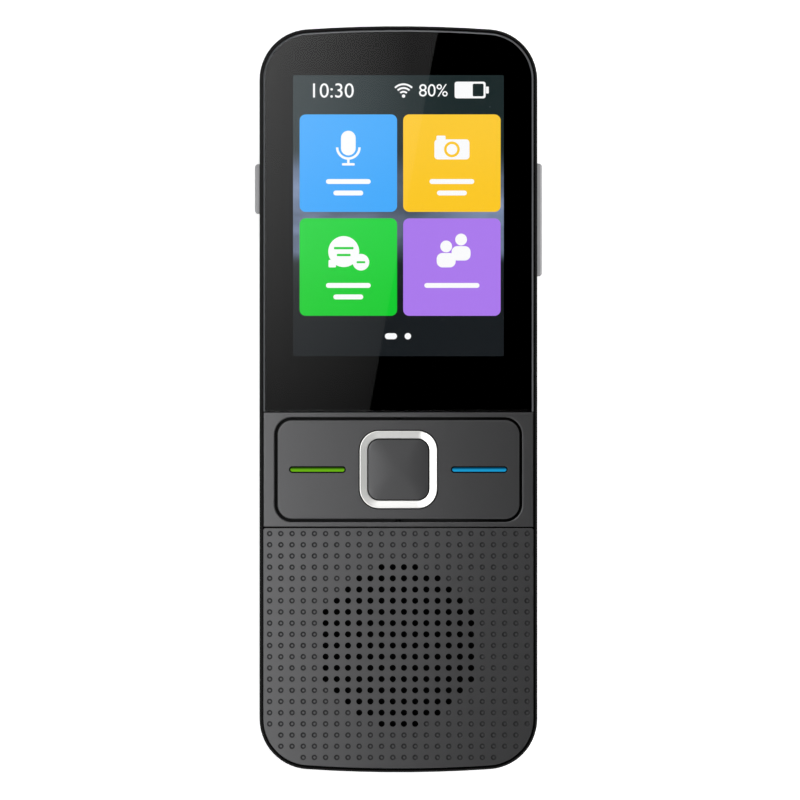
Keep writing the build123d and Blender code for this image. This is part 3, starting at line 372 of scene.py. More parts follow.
def ring_sector(radius: float, width: float, start: float, end: float, steps: int = 16) -> Outline:
    """An open arc drawn as a band: out along the outer radius and back along the inner one."""
    angle = np.radians(np.linspace(start, end, steps + 1))
    normal = np.column_stack([np.cos(angle), np.sin(angle)])
    points = np.vstack([(radius + width / 2) * normal, ((radius - width / 2) * normal)[::-1]])
    return Outline(points, np.vstack([normal, -normal[::-1]]))


# ---- Materials ----------------------------------------------------------------------
class Pattern(Enum):
    """How a surface was made, which sets its fine texture."""

    GRAIN = "moulded or sprayed, an even fine grain"
    WOVEN = "woven threads"
    TRACED = "etched conductors under a lacquer"


def linear(code: str) -> tuple[float, float, float, float]:
    """A colour for Blender from an sRGB hex code, by the sRGB curve.

    Args:
        code: six hex digits after a hash mark.

    Returns:
        Linear red, green and blue, and full alpha.
    """
    parts = [int(code[start : start + 2], 16) / 255 for start in (1, 3, 5)]
    red, green, blue = (v / 12.92 if v <= 0.04045 else ((v + 0.055) / 1.055) ** 2.4 for v in parts)
    return red, green, blue, 1.0


def add_node(tree: bpy.types.NodeTree, kind: str, inputs: dict, **settings: object) -> bpy.types.Node:
    """Adds a node, and sets its properties and its inputs.

    Args:
        tree: the node tree.
        kind: the node's type name.
        inputs: values by socket name or number, where a socket is linked instead.
        settings: the node's own properties.

    Returns:
        The node.
    """
    node = tree.nodes.new(kind)
    for name, value in settings.items():
        setattr(node, name, value)
    for key, value in inputs.items():
        if isinstance(value, bpy.types.NodeSocket):
            tree.links.new(value, node.inputs[key])
        else:
            node.inputs[key].default_value = value
    return node


def new_material(name: str) -> tuple[bpy.types.Material, bpy.types.NodeTree, bpy.types.NodeSocket]:
    """An empty node material, with its tree and the surface socket of its output."""
    material = bpy.data.materials.new(name)
    material.use_nodes = True
    material.node_tree.nodes.clear()
    output = material.node_tree.nodes.new("ShaderNodeOutputMaterial")
    return material, material.node_tree, output.inputs["Surface"]


def object_place(tree: bpy.types.NodeTree, scale: tuple[float, float, float]) -> bpy.types.NodeSocket:
    """A place on the piece in its own coordinates, times a scale for each axis."""
    place = add_node(tree, "ShaderNodeTexCoord", {})
    mapped = add_node(tree, "ShaderNodeMapping", {"Vector": place.outputs["Object"], "Scale": scale})
    return mapped.outputs["Vector"]


@dataclass(frozen=True)
class Finish:
    """An opaque finish: a base colour with a fine texture in colour, gloss and relief.

    grain is the size of the texture in millimetres, relief how deep it is, mottle the share by
    which the colour varies, and gloss_change by how much the roughness varies.
    """

    name: str
    colour: str
    roughness: float
    grain: float
    relief: float
    metallic: float = 0.0
    mottle: float = 0.06
    gloss_change: float = 0.05
    coat: float = 0.0
    coat_roughness: float = 0.05
    specular: float = 0.5
    pattern: Pattern = Pattern.GRAIN

    def texture(self, tree: bpy.types.NodeTree) -> bpy.types.NodeSocket:
        """The fine texture as a number from 0 to 1, at the real size of the grain."""
        fine = 1 / (self.grain * MM)
        if self.pattern is Pattern.WOVEN:
            place = object_place(tree, (fine, fine, fine))
            thread = {"Vector": place, "Scale": 0.5}
            across = add_node(tree, "ShaderNodeTexWave", thread, bands_direction="X")
            along = add_node(tree, "ShaderNodeTexWave", thread, bands_direction="Y")
            both = {0: across.outputs["Fac"], 1: along.outputs["Fac"]}
            return add_node(tree, "ShaderNodeMath", both, operation="MULTIPLY").outputs[0]
        if self.pattern is Pattern.TRACED:
            place = object_place(tree, (fine, fine, fine))
            bricks = {"Vector": place, "Scale": 1.0, "Mortar Size": 0.06, "Color1": (1, 1, 1, 1)}
            bricks |= {"Color2": (0.8, 0.8, 0.8, 1), "Mortar": (0, 0, 0, 1)}
            return add_node(tree, "ShaderNodeTexBrick", bricks).outputs["Color"]
        place = object_place(tree, (fine, fine, fine))
        noise = {"Vector": place, "Scale": 1.0, "Detail": 3.0, "Roughness": 0.55}
        return add_node(tree, "ShaderNodeTexNoise", noise).outputs["Fac"]

    def material(self) -> bpy.types.Material:
        """The material, made once."""
        made = bpy.data.materials.get(self.name)
        if made:
            return made
        made, tree, surface = new_material(self.name)
        texture = self.texture(tree)
        base = linear(self.colour)
        dark = tuple(part * (1 - self.mottle) for part in base[:3]) + (1.0,)
        light = tuple(min(1.0, part * (1 + self.mottle)) for part in base[:3]) + (1.0,)
        colour = add_node(tree, "ShaderNodeMix", {0: texture, 6: dark, 7: light}, data_type="RGBA")
        gloss = {"Value": texture, 3: max(0.0, self.roughness - self.gloss_change)}
        gloss[4] = min(1.0, self.roughness + self.gloss_change)
        roughness = add_node(tree, "ShaderNodeMapRange", gloss)
        bump = {"Height": texture, "Strength": 1.0, "Distance": self.relief * MM}
        normal = add_node(tree, "ShaderNodeBump", bump)
        inputs = {"Base Color": colour.outputs[2], "Roughness": roughness.outputs[0]}
        inputs |= {"Normal": normal.outputs[0], "Metallic": self.metallic}
        inputs |= {"Coat Weight": self.coat, "Coat Roughness": self.coat_roughness}
        inputs |= {"Specular IOR Level": self.specular}
        shader = add_node(tree, "ShaderNodeBsdfPrincipled", inputs)
        tree.links.new(shader.outputs[0], surface)
        return made


@dataclass(frozen=True)
class GlassFinish:
    """Clear or smoked mineral glass with the faint smears that handling leaves."""

    name: str
    tint: str
    smear: float = 0.012

    def material(self) -> bpy.types.Material:
        """The material, made once."""
        made = bpy.data.materials.get(self.name)
        if made:
            return made
        made, tree, surface = new_material(self.name)
        # Smears are about 14 mm long, and only change the gloss.
        place = object_place(tree, (70.0, 45.0, 70.0))
        noise = add_node(tree, "ShaderNodeTexNoise", {"Vector": place, "Scale": 1.0, "Detail": 2.0})
        gloss = {"Value": noise.outputs["Fac"], 3: 0.0, 4: self.smear}
        roughness = add_node(tree, "ShaderNodeMapRange", gloss)
        inputs = {"Base Color": linear(self.tint), "Roughness": roughness.outputs[0]}
        inputs |= {"Transmission Weight": 1.0, "IOR": 1.5}
        shader = add_node(tree, "ShaderNodeBsdfPrincipled", inputs)
        tree.links.new(shader.outputs[0], surface)
        return made


@dataclass(frozen=True)
class LitFinish:
    """A lit surface that fades from one colour to another along Y, between two heights of Y."""

    name: str
    low_colour: str
    high_colour: str
    low: float
    high: float
    strength: float = 1.0

    def material(self) -> bpy.types.Material:
        """The material, made once."""
        made = bpy.data.materials.get(self.name)
        if made:
            return made
        made, tree, surface = new_material(self.name)
        place = add_node(tree, "ShaderNodeSeparateXYZ", {"Vector": object_place(tree, (1, 1, 1))})
        share = {"Value": place.outputs["Y"], 1: self.low * MM, 2: self.high * MM}
        ramp = add_node(tree, "ShaderNodeMapRange", share, interpolation_type="SMOOTHSTEP")
        ends = {0: ramp.outputs[0], 6: linear(self.low_colour), 7: linear(self.high_colour)}
        colour = add_node(tree, "ShaderNodeMix", ends, data_type="RGBA")
        # Bonded to what covers it, so it has no reflection of its own.
        inputs = {"Base Color": (0.002, 0.002, 0.002, 1), "Specular IOR Level": 0.0}
        inputs |= {"Emission Color": colour.outputs[2], "Emission Strength": self.strength}
        shader = add_node(tree, "ShaderNodeBsdfPrincipled", inputs)
        tree.links.new(shader.outputs[0], surface)
        return made


@dataclass(frozen=True)
class WallpaperFinish:
    """The lit background picture: a night-sky fade with a soft band of mist and a few specks."""

    name: str
    centre: float
    length: float

    def material(self) -> bpy.types.Material:
        """The material, made once."""
        made, tree, surface = new_material(self.name)
        spot = add_node(tree, "ShaderNodeSeparateXYZ", {"Vector": object_place(tree, (1, 1, 1))})
        across = {"Value": spot.outputs["X"], 1: -18 * MM, 2: 14 * MM}
        side = add_node(tree, "ShaderNodeMapRange", across, interpolation_type="SMOOTHSTEP")
        sky = {0: side.outputs[0], 6: linear("#343F42"), 7: linear("#1E2A2B")}
        sky_colour = add_node(tree, "ShaderNodeMix", sky, data_type="RGBA")
        low = (self.centre - self.length / 2) * MM
        span = self.length * MM
        up = {"Value": spot.outputs["Y"], 1: low + 0.2 * span, 2: low + 0.5 * span}
        height = add_node(tree, "ShaderNodeMapRange", up, interpolation_type="SMOOTHSTEP")
        ground = {0: height.outputs[0], 6: linear("#191D20"), 7: sky_colour.outputs[2]}
        faded = add_node(tree, "ShaderNodeMix", ground, data_type="RGBA")
        # The mist lies in one level band, broken up by noise about 9 mm across.
        cloud = {"Vector": object_place(tree, (60, 160, 60)), "Scale": 1.0, "Detail": 4.0}
        noise = add_node(tree, "ShaderNodeTexNoise", cloud)
        above = {"Value": spot.outputs["Y"], 1: (self.centre - 8.5) * MM, 2: (self.centre - 5) * MM}
        rise = add_node(tree, "ShaderNodeMapRange", above, interpolation_type="SMOOTHSTEP")
        beyond = {"Value": spot.outputs["Y"], 1: (self.centre + 12) * MM, 2: (self.centre + 3) * MM}
        fall = add_node(tree, "ShaderNodeMapRange", beyond, interpolation_type="SMOOTHSTEP")
        band = {0: rise.outputs[0], 1: fall.outputs[0]}
        inside = add_node(tree, "ShaderNodeMath", band, operation="MULTIPLY")
        # It is thick at the left, thin in the middle, and thicker again at the right.
        thinning = {"Value": spot.outputs["X"], 1: -18 * MM, 2: -3 * MM, 3: 1.0, 4: 0.28}
        thin = add_node(tree, "ShaderNodeMapRange", thinning)
        thickening = {"Value": spot.outputs["X"], 1: 2 * MM, 2: 17 * MM, 3: 0.0, 4: 0.5}
        thick = add_node(tree, "ShaderNodeMapRange", thickening)
        weight = add_node(tree, "ShaderNodeMath", {0: thin.outputs[0], 1: thick.outputs[0]})
        shaped = {0: inside.outputs[0], 1: weight.outputs[0]}
        banked = add_node(tree, "ShaderNodeMath", shaped, operation="MULTIPLY")
        bank = {"Value": noise.outputs["Fac"], 1: 0.2, 2: 0.6}
        torn = add_node(tree, "ShaderNodeMapRange", bank)
        both = {0: banked.outputs[0], 1: torn.outputs[0]}
        broken = add_node(tree, "ShaderNodeMath", both, operation="MULTIPLY")
        mist = {0: broken.outputs[0], 6: faded.outputs[2], 7: linear("#92A3C6")}
        misty = add_node(tree, "ShaderNodeMix", mist, data_type="RGBA")
        # Specks: the middles of scattered cells about 3 mm apart.
        cells = {"Vector": object_place(tree, (330, 330, 0)), "Scale": 1.0}
        distance = add_node(tree, "ShaderNodeTexVoronoi", cells)
        near = {"Value": distance.outputs["Distance"], 1: 0.05, 2: 0.035}
        speck = add_node(tree, "ShaderNodeMapRange", near)
        stars = {0: speck.outputs[0], 6: misty.outputs[2], 7: linear("#70777D")}
        picture = add_node(tree, "ShaderNodeMix", stars, data_type="RGBA")
        inputs = {"Base Color": (0.002, 0.002, 0.002, 1), "Specular IOR Level": 0.0}
        inputs |= {"Emission Color": picture.outputs[2], "Emission Strength": PICTURE_STRENGTH}
        shader = add_node(tree, "ShaderNodeBsdfPrincipled", inputs)
        tree.links.new(shader.outputs[0], surface)
        return made


def optical_bond() -> bpy.types.Material:
    """The clear gel between the cover glass and the display: light crosses it without bending
    or turning back, so the glass mirrors only at its outer face. Fine dust tints it a little."""
    made, tree, surface = new_material("optical_bond_gel")
    dust = {"Vector": object_place(tree, (900.0, 900.0, 900.0)), "Scale": 1.0}
    noise = add_node(tree, "ShaderNodeTexNoise", dust)
    tint = {0: noise.outputs["Fac"], 6: linear("#FFFFFF"), 7: linear("#FDFDFD")}
    colour = add_node(tree, "ShaderNodeMix", tint, data_type="RGBA")
    shader = add_node(tree, "ShaderNodeBsdfTransparent", {"Color": colour.outputs[2]})
    tree.links.new(shader.outputs[0], surface)
    return made


# The strength of the lit picture, which makes up for what the glass turns back.
PICTURE_STRENGTH = 1.035
# One finish for each of the record's material slots.
FINISHES: dict[str, Finish | GlassFinish] = {
    # Polished ABS, piano black: a deep clear gloss with almost no relief.
    "frame_gloss": Finish(
        "polished_abs_black", "#030303", 0.16, 0.4, 0.0004, gloss_change=0.02, specular=0.25
    ),
    # Spark-eroded ABS: a fine even matt texture.
    "rear_shell": Finish("textured_abs_black", "#111213", 0.62, 0.35, 0.012, specular=0.25),
    "front_glass": GlassFinish("aluminosilicate_glass", "#FFFFFF"),
    # Acrylic foam tape: dull and closed-celled.
    "adhesive": Finish("acrylic_foam_black", "#0A0A0B", 0.85, 0.15, 0.01),
    # Glass with a polariser film on it: dark, with a soft gloss.
    "display_stack": Finish("polarised_cell_glass", "#0B0D10", 0.25, 1.0, 0.0005, gloss_change=0.02),
    "white_plastic": Finish("polycarbonate_white", "#DCDEDF", 0.45, 0.3, 0.003),
    # Polyimide film: amber, slightly glossy.
    "flex_film": Finish("polyimide_amber", "#B4691C", 0.35, 1.2, 0.001, mottle=0.12),
    # Sprayed satin lacquer over aluminium: metal flake in a dark binder.
    "panel_grey": Finish("satin_lacquer_grey", "#59595A", 0.42, 0.12, 0.0008, metallic=1.0),
    # The same lacquer on moulded ABS.
    "key_grey": Finish("satin_lacquer_abs", "#565657", 0.42, 0.12, 0.0008, metallic=1.0),
    # Electroplated ABS with a satin nickel and chrome layer.
    "ring_chrome": Finish("satin_chrome_plate", "#E4E4E1", 0.3, 0.2, 0.0004, metallic=1.0, mottle=0.02),
    # Bead-blasted and anodised aluminium: the blasting makes it scatter nearly like paint.
    "side_key_silver": Finish("blasted_aluminium", "#BABABC", 0.55, 0.15, 0.002, metallic=0.1),
    "lens_green": Finish("acrylic_green", "#6DB11D", 0.3, 0.3, 0.001),
    "lens_blue": Finish("acrylic_blue", "#1793C4", 0.3, 0.3, 0.001),
    # Acoustic mesh: woven polyester thread, drawn at 0.3 mm so that it shows.
    "cloth_black": Finish(
        "woven_polyester_black", "#030303", 0.9, 0.3, 0.03, specular=0.15, pattern=Pattern.WOVEN
    ),
    "speaker_plastic": Finish("glass_filled_nylon", "#141415", 0.6, 0.3, 0.01),
    "speaker_film": Finish("formed_polymer_film", "#2A2A2D", 0.4, 0.8, 0.003),
    # Nickel-plated steel, cool and slightly mottled.
    "magnet_steel": Finish("nickel_plated_steel", "#A8A9AC", 0.3, 0.8, 0.001, metallic=1.0),
    # Glass-fibre laminate under green solder mask.
    "board_laminate": Finish(
        "solder_mask_green", "#0F5132", 0.35, 2.4, 0.01, mottle=0.25, pattern=Pattern.TRACED
    ),
    "chip_black": Finish("epoxy_mould_black", "#18181A", 0.6, 0.1, 0.003),
    "shield_steel": Finish("tinned_steel_sheet", "#B9BABC", 0.38, 0.6, 0.001, metallic=1.0),
    "screw_steel": Finish("zinc_plated_steel", "#9B9CA0", 0.32, 0.2, 0.001, metallic=1.0),
    "dome_steel": Finish("stamped_stainless_steel", "#BBBCBE", 0.28, 0.2, 0.0006, metallic=1.0),
    "led_body": Finish("clear_epoxy_resin", "#E4DFC4", 0.2, 0.2, 0.001, coat=0.5),
    # Aluminium laminate pouch: soft crinkles 3 mm across.
    "battery_foil": Finish("laminated_pouch_foil", "#A2A5AA", 0.34, 3.0, 0.03, metallic=1.0),
    "plug_plastic": Finish("liquid_crystal_polymer", "#1D1D1F", 0.5, 0.2, 0.003),
    "socket_steel": Finish("drawn_stainless_steel", "#B0B1B4", 0.27, 0.25, 0.0008, metallic=1.0),
    "capsule_metal": Finish("turned_aluminium_can", "#B4B5B7", 0.33, 0.2, 0.0008, metallic=1.0),
    "boot_rubber": Finish("moulded_silicone_black", "#121213", 0.75, 0.25, 0.006),
    "camera_black": Finish("anodised_black", "#0B0B0C", 0.5, 0.2, 0.003),
    "lens_glass": GlassFinish("coated_lens_glass", "#B9C4E6", smear=0.002),
    # Lightly smoked, so that the lens and the flash show through it.
    "window_glass": GlassFinish("smoked_window_glass", "#C9CBCE", smear=0.006),
    "antenna_copper": Finish("etched_copper", "#B87445", 0.35, 0.3, 0.001, metallic=1.0),
    "spring_gold": Finish("gold_plated_spring", "#D9B25A", 0.25, 0.2, 0.0006, metallic=1.0),
}
# The ground edge of a cut glass plate: a fine grey haze that scatters the light beside it.
GROUND_EDGE = Finish("ground_glass_edge", "#75777A", 0.38, 0.1, 0.0006, mottle=0.03)
# Fired enamel on the underside of the glass, a level opaque black.
BORDER_ENAMEL = Finish("fired_enamel_black", "#000000", 0.5, 0.4, 0.0004, specular=0.0)
# Painted shade: a black for upright walls, the insides of holes, the gaps round keys and the deeper faces
# of lacquered pieces, where shade falls.
PAINTED_SHADE_BLACK = Finish("painted_shade_black", "#040404", 0.6, 0.3, 0.002, specular=0.15)
# Painted shade: a dark, dull grey on the sides of the pressed dimples, where shade falls.
DIMPLE_SHADE = Finish("painted_dimple_shade", "#2B2B2C", 0.66, 0.12, 0.0008, metallic=0.7)
# The turned rim round the camera's lens, anodised dark grey.
LENS_TRIM = Finish("turned_rim_grey", "#6A6C70", 0.3, 0.15, 0.0008, metallic=1.0)


# ---- Pieces -------------------------------------------------------------------------
def dress(piece: bpy.types.Object, materials: list[bpy.types.Material]) -> None:
    """Gives a piece these materials and no others."""
    piece.data.materials.clear()
    for material in materials:
        piece.data.materials.append(material)


def face_normals(piece: bpy.types.Object) -> np.ndarray:
    """The unit normal of every face, one row each."""
    normals = np.zeros(len(piece.data.polygons) * 3)
    piece.data.polygons.foreach_get("normal", normals)
    return normals.reshape(-1, 3)


def face_heights(piece: bpy.types.Object) -> np.ndarray:
    """The height of every face's middle, in millimetres."""
    middles = np.zeros(len(piece.data.polygons) * 3)
    piece.data.polygons.foreach_get("center", middles)
    return middles.reshape(-1, 3)[:, 2] / MM


def smooth(piece: bpy.types.Object, flat_top: bool = False) -> None:
    """Shades a piece smooth but for sharp edges.

    Args:
        piece: the piece.
        flat_top: whether level faces are shaded flat. Where they aren't, area-weighted normals
            keep broad faces even instead.
    """
    # The angle comes first, because setting it clears the flags for each face.
    piece.data.set_sharp_from_angle(angle=SHARP_ANGLE)
    if flat_top:
        level = np.abs(face_normals(piece)[:, 2]) > 0.9999
        piece.data.polygons.foreach_set("use_smooth", ~level)
        return
    weighted = piece.modifiers.new("weighted_normals", "WEIGHTED_NORMAL")
    weighted.keep_sharp = True
    weighted.weight = 80


def write_piece(
    name: str,
    surface: Surface,
    materials: tuple[bpy.types.Material, ...],
    body: str,
    replaces: tuple[str, ...] = (),
    flat_top: bool = False,
) -> bpy.types.Object:
    """Makes a piece from a surface, merged where its parts meet and with faces outwards.

    Args:
        name: the piece's name.
        surface: its closed shape.
        materials: its materials, in the order of the surface's paints.
        body: the CAD body that it rides on.
        replaces: the CAD nodes that it stands for.
        flat_top: whether its level faces are shaded flat.

    Returns:
        The piece.
    """
    mesh = bpy.data.meshes.new(name)
    rows = [row for faces in surface.faces for row in faces.tolist()]
    mesh.from_pydata((surface.vertices * MM).tolist(), [], rows)
    mesh.polygons.foreach_set("material_index", surface.face_paints())
    work = bmesh.new()
    work.from_mesh(mesh)
    bmesh.ops.remove_doubles(work, verts=work.verts, dist=MERGE * MM)
    bmesh.ops.recalc_face_normals(work, faces=work.faces)
    work.to_mesh(mesh)
    work.free()
    piece = bpy.data.objects.new(name, mesh)
    bpy.context.scene.collection.objects.link(piece)
    for material in materials:
        mesh.materials.append(material)
    smooth(piece, flat_top)
    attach(piece, body)
    if replaces:
        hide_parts(*replaces)
    LOG.info("%s: %d faces on %s", name, len(mesh.polygons), body)
    return piece


def slot_of(node: str) -> str:
    """The record's material slot of a CAD node."""
    return next(row["material_slot"] for row in frame["record"]["subparts"] if row["node"] == node)


def paint_recess_shade(piece: bpy.types.Object, depth: float, steep: float = 0.3) -> None:
    """Paints shade in black on a piece: on its steep faces, and on all that lies deeper than a
    depth below its top, where its gaps and walls fall into shade.

    Args:
        piece: the piece.
        depth: that depth.
        steep: a face is steep where its unit normal rises by less than this.
    """
    piece.data.materials.append(PAINTED_SHADE_BLACK.material())
    heights = face_heights(piece)
    # Steep and deep faces take the black painted shade.
    shade_faces = (face_normals(piece)[:, 2] < steep) | (heights < heights.max() - depth)
    piece.data.polygons.foreach_set("material_index", shade_faces.astype(np.int32))


def refined_copy(node: str, bevel: float) -> bpy.types.Object:
    """A merged copy of a CAD node with its sharp edges broken, which stands for the node.

    Args:
        node: the CAD node.
        bevel: the width of the broken edge.

    Returns:
        The piece.
    """
    source = frame["nodes"][node]
    mesh = source.data.copy()
    work = bmesh.new()
    work.from_mesh(mesh)
    bmesh.ops.remove_doubles(work, verts=work.verts, dist=COPY_MERGE * MM)
    bmesh.ops.dissolve_limit(work, angle_limit=FLAT_ANGLE, verts=work.verts, edges=work.edges)
    work.to_mesh(mesh)
    work.free()
    piece = bpy.data.objects.new(f"{node}_finished", mesh)
    bpy.context.scene.collection.objects.link(piece)
    dress(piece, [FINISHES[slot_of(node)].material()])
    if bevel:
        rounding = piece.modifiers.new("broken_edges", "BEVEL")
        rounding.width = bevel * MM
        rounding.segments = 3
        rounding.limit_method = "ANGLE"
        rounding.angle_limit = SHARP_ANGLE
    smooth(piece)
    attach(piece, source["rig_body"])
    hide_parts(node)
    LOG.info("%s: refined copy of %s", piece.name, node)
    return piece


@dataclass
class Housing:
    """What shows at the edges of the two shells: the two side keys and the charging socket."""

    key_bevel: float = 0.18
    socket_bevel: float = 0.06

    def build(self) -> None:
        """Makes the finished copies."""
        for key in ("power_key", "volume_key"):
            refined_copy(key, self.key_bevel)
        refined_copy("usb_shell", self.socket_bevel)
        refined_copy("usb_tongue", self.socket_bevel)


@dataclass
class FrontGlass:
    """The cover glass with its ground chamfer, and the black enamel border under it."""

    border_depth: float = 0.008
    border_inset: float = 0.3
    picture_width: float = 36.72
    picture_length: float = 48.96
    picture_top: float = 8.52
    chamfer_low: float = 0.35
    chamfer_high: float = 0.95

    def picture_centre(self) -> float:
        """The middle of the lit picture along Y, measured from the top end."""
        return node_box("front_frame").high[1] - self.picture_top - self.picture_length / 2

    def build(self) -> None:
        """Makes the glass and its border."""
        glass = refined_copy("cover_glass", 0.0)
        glass.data.materials.append(GROUND_EDGE.material())
        glass.data.materials.append(optical_bond())
        tilt = face_normals(glass)[:, 2]
        ground = (tilt > self.chamfer_low) & (tilt < self.chamfer_high)
        paints = np.where(ground, 1, np.where(tilt < -self.chamfer_high, 2, 0))
        glass.data.polygons.foreach_set("material_index", paints.astype(np.int32))
        box = node_box("cover_glass")
        # The border reaches nearly to the edge of the glass and leaves the lit picture open.
        border = end_outline(box, self.border_inset)
        opening = rounded_rectangle(self.picture_width, self.picture_length, 0.2, 3)
        opening = opening.moved(0, self.picture_centre())
        # The enamel is fused into the glass, so it lies just inside the underside.
        low = box.low[2] + self.border_depth / 8
        sheet = plate(border, low, low + self.border_depth, holes=(opening,))
        write_piece("border_print", sheet, (BORDER_ENAMEL.material(),), "case")


def end_outline(box: Box, inset: float, toward_top: bool = True, small: float = 0.4) -> Outline:
    """The outline of a plate that fills one bowed end of the body.

    The end is an arc of large radius whose rise over the width is the crown. A corner arc joins
    it to the side, tangent to both. The other end is cut straight, with small corners.

    Args:
        box: the plate's box.
        inset: how far inside the box's edge the outline runs.
        toward_top: whether the bowed end is at +Y.
        small: the radius of the corners at the straight end.

    Returns:
        The outline.
    """
    body = node_box("front_frame")
    half_width, half_length = body.size[0] / 2, body.size[1] / 2
    crown, corner = 1.25, 8.8
    radius = (half_width**2 + crown**2) / (2 * crown)
    middle = half_length - radius
    across = half_width - corner
    along = middle + math.sqrt((radius - corner) ** 2 - across**2)
    lean = math.degrees(math.atan2(across, along - middle))
    edge = half_width - box.high[0] + inset
    cut = (box.low[1] if toward_top else -box.high[1]) + inset
    side = half_width - edge - small
    outline = arcs(
        (across, along, corner - edge, 0, 90 - lean, 14),
        (0, middle, radius - edge, 90 - lean, 90 + lean, 20),
        (-across, along, corner - edge, 90 + lean, 180, 14),
        (-side, cut + small, small, 180, 270, 4),
        (side, cut + small, small, 270, 360, 4),
    )
    return outline if toward_top else Outline(-outline.points, -outline.normals)


@dataclass
class Screen:
    """The lit picture: background, four tiles with plain icons, a status line and a page mark."""

    glass: FrontGlass
    lift: float = 0.012
    sheet: float = 0.008
    tile: float = 16.98
    tile_corner: float = 1.05
    pitch_x: float = 18.05
    pitch_y: float = 18.11
    grid_x: float = 0.3
    grid_y: float = 0.1
    status_y: float = 21.9

    def layer(self, outlines: list[Outline], level: int) -> Surface:
        """Thin level plates, one for each outline, at a layer of the picture."""
        bottom = node_box("display_cell").high[2] + level * self.lift
        return join(*[plate(outline, bottom, bottom + self.sheet) for outline in outlines])

    def place(self, outline: Outline, x: float, y: float) -> Outline:
        """An outline placed from the middle of the lit picture."""
        return outline.moved(x, y + self.glass.picture_centre())

    def digits(self, text: str, height: float, x: float, y: float, name: str) -> None:
        """Plain digits on the status line, made of a flat text mesh.

        Args:
            text: the digits.
            height: their height.
            x: the left edge from the middle of the picture.
            y: the base line from the middle of the picture.
            name: the piece's name.
        """
        curve = bpy.data.curves.new(name, "FONT")
        curve.body = text
        curve.size = height * MM / 0.7
        writing = bpy.data.objects.new(name + "_source", curve)
        bpy.context.scene.collection.objects.link(writing)
        shaped = writing.evaluated_get(bpy.context.evaluated_depsgraph_get())
        mesh = bpy.data.meshes.new_from_object(shaped)
        bpy.data.objects.remove(writing)
        top = node_box("display_cell").high[2] + 3 * self.lift + self.sheet
        points = np.zeros(len(mesh.vertices) * 3)
        mesh.vertices.foreach_get("co", points)
        points = points.reshape(-1, 3) + np.array([x, y + self.glass.picture_centre(), top]) * MM
        mesh.vertices.foreach_set("co", points.ravel())
        mesh.name = name
        piece = bpy.data.objects.new(name, mesh)
        bpy.context.scene.collection.objects.link(piece)
        dress(piece, [WHITE_LIGHT.material()])
        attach(piece, "case")
        LOG.info("%s: digits", name)

    def microphone_icon(self, x: float, y: float) -> list[Outline]:
        """A capsule in an open cradle on a stem."""
        capsule = rounded_rectangle(2.56, 4.3, 1.28)
        cradle = ring_sector(1.95, 0.42, 180, 360)
        stem = rounded_rectangle(0.42, 1.0, 0.1, 2)
        foot = rounded_rectangle(2.2, 0.42, 0.1, 2)
        parts = ((capsule, 3.5), (cradle, 2.75), (stem, 0.35), (foot, -0.2))
        return [self.place(part, x, y + up) for part, up in parts]

    def camera_icon(self, x: float, y: float) -> list[Outline]:
        """A camera body with a small hump."""
        body = rounded_rectangle(6.1, 3.5, 0.6)
        hump = rounded_rectangle(1.6, 0.8, 0.2, 2)
        return [self.place(body, x, y + 2.4), self.place(hump, x - 1.9, y + 4.4)]

    def talk_icon(self, x: float, y: float) -> list[Outline]:
        """A round speech bubble with a tail, and a small badge beside it."""
        bubble, tail, badge = circle(2.7, 40), rounded_rectangle(1.3, 1.3, 0.15, 2), circle(1.45, 28)
        return [
            self.place(bubble, x - 0.8, y + 2.7),
            self.place(tail, x - 2.8, y + 0.6),
            self.place(badge, x + 2.2, y + 0.85),
        ]

    def people_icon(self, x: float, y: float) -> list[Outline]:
        """Two figures, each a round head over rounded shoulders."""
        head, body = circle(1.03, 24), rounded_rectangle(3.3, 2.5, 1.0)
        figures = ((-1.0, 1.2), (1.6, 2.4))
        heads = [self.place(head, x + dx, y + dy + 2.4) for dx, dy in figures]
        return heads + [self.place(body, x + dx, y + dy) for dx, dy in figures]

    def build(self) -> None:
        """Makes the picture's layers from the back to the front."""
        centre = self.glass.picture_centre()
        width, length = self.glass.picture_width, self.glass.picture_length
        back = WallpaperFinish("lit_background", centre, length).material()
        area = self.place(rounded_rectangle(width, length, 0.1, 2), 0, 0)
        write_piece("picture_background", self.layer([area], 0), (back,), "case")
        icons = (self.microphone_icon, self.camera_icon, self.talk_icon, self.people_icon)
        # Each tile has its own colour, and its light fades a little towards its foot.
        colours = (
            ("blue", "#40A9FB", "#4DAEFC"),
            ("yellow", "#FDC928", "#FECC38"),
            ("green", "#14CB30", "#20D240"),
            ("purple", "#AC7BEE", "#AC7CEE"),
        )
        white: list[Outline] = []
        for number, (name, low, high) in enumerate(colours):
            x = self.grid_x + (number % 2 - 0.5) * self.pitch_x
            y = self.grid_y + (0.5 - number // 2) * self.pitch_y
            place = centre + y
            reach = self.tile / 2
            ends = (place - reach, place + reach)
            finish = LitFinish(f"lit_tile_{name}", low, high, *ends, PICTURE_STRENGTH)
            shape = rounded_rectangle(self.tile, self.tile, self.tile_corner)
            tile = self.layer([self.place(shape, x, y)], 1)
            write_piece(f"tile_{name}", tile, (finish.material(),), "case")
            white += icons[number](x, y)
            # Plain bars stand where a caption would be.
            rows = ((-3.2, 7.8), (-5.2, 5.2)) if number < 3 else ((-3.2, 9.6),)
            white += [self.place(pill(row, 0.85), x, y + drop) for drop, row in rows]
        white += [self.place(pill(2.1, 1.05), -1.3, -21.0), self.place(circle(0.56), 1.65, -21.0)]
        white += self.status_marks()
        write_piece("icons_white", self.layer(white, 2), (WHITE_LIGHT.material(),), "case")
        self.details()
        self.digits("10:30", 2.5, -15.6, self.status_y - 1.3, "clock_digits")
        self.digits("80%", 2.15, 3.5, self.status_y - 1.1, "charge_digits")

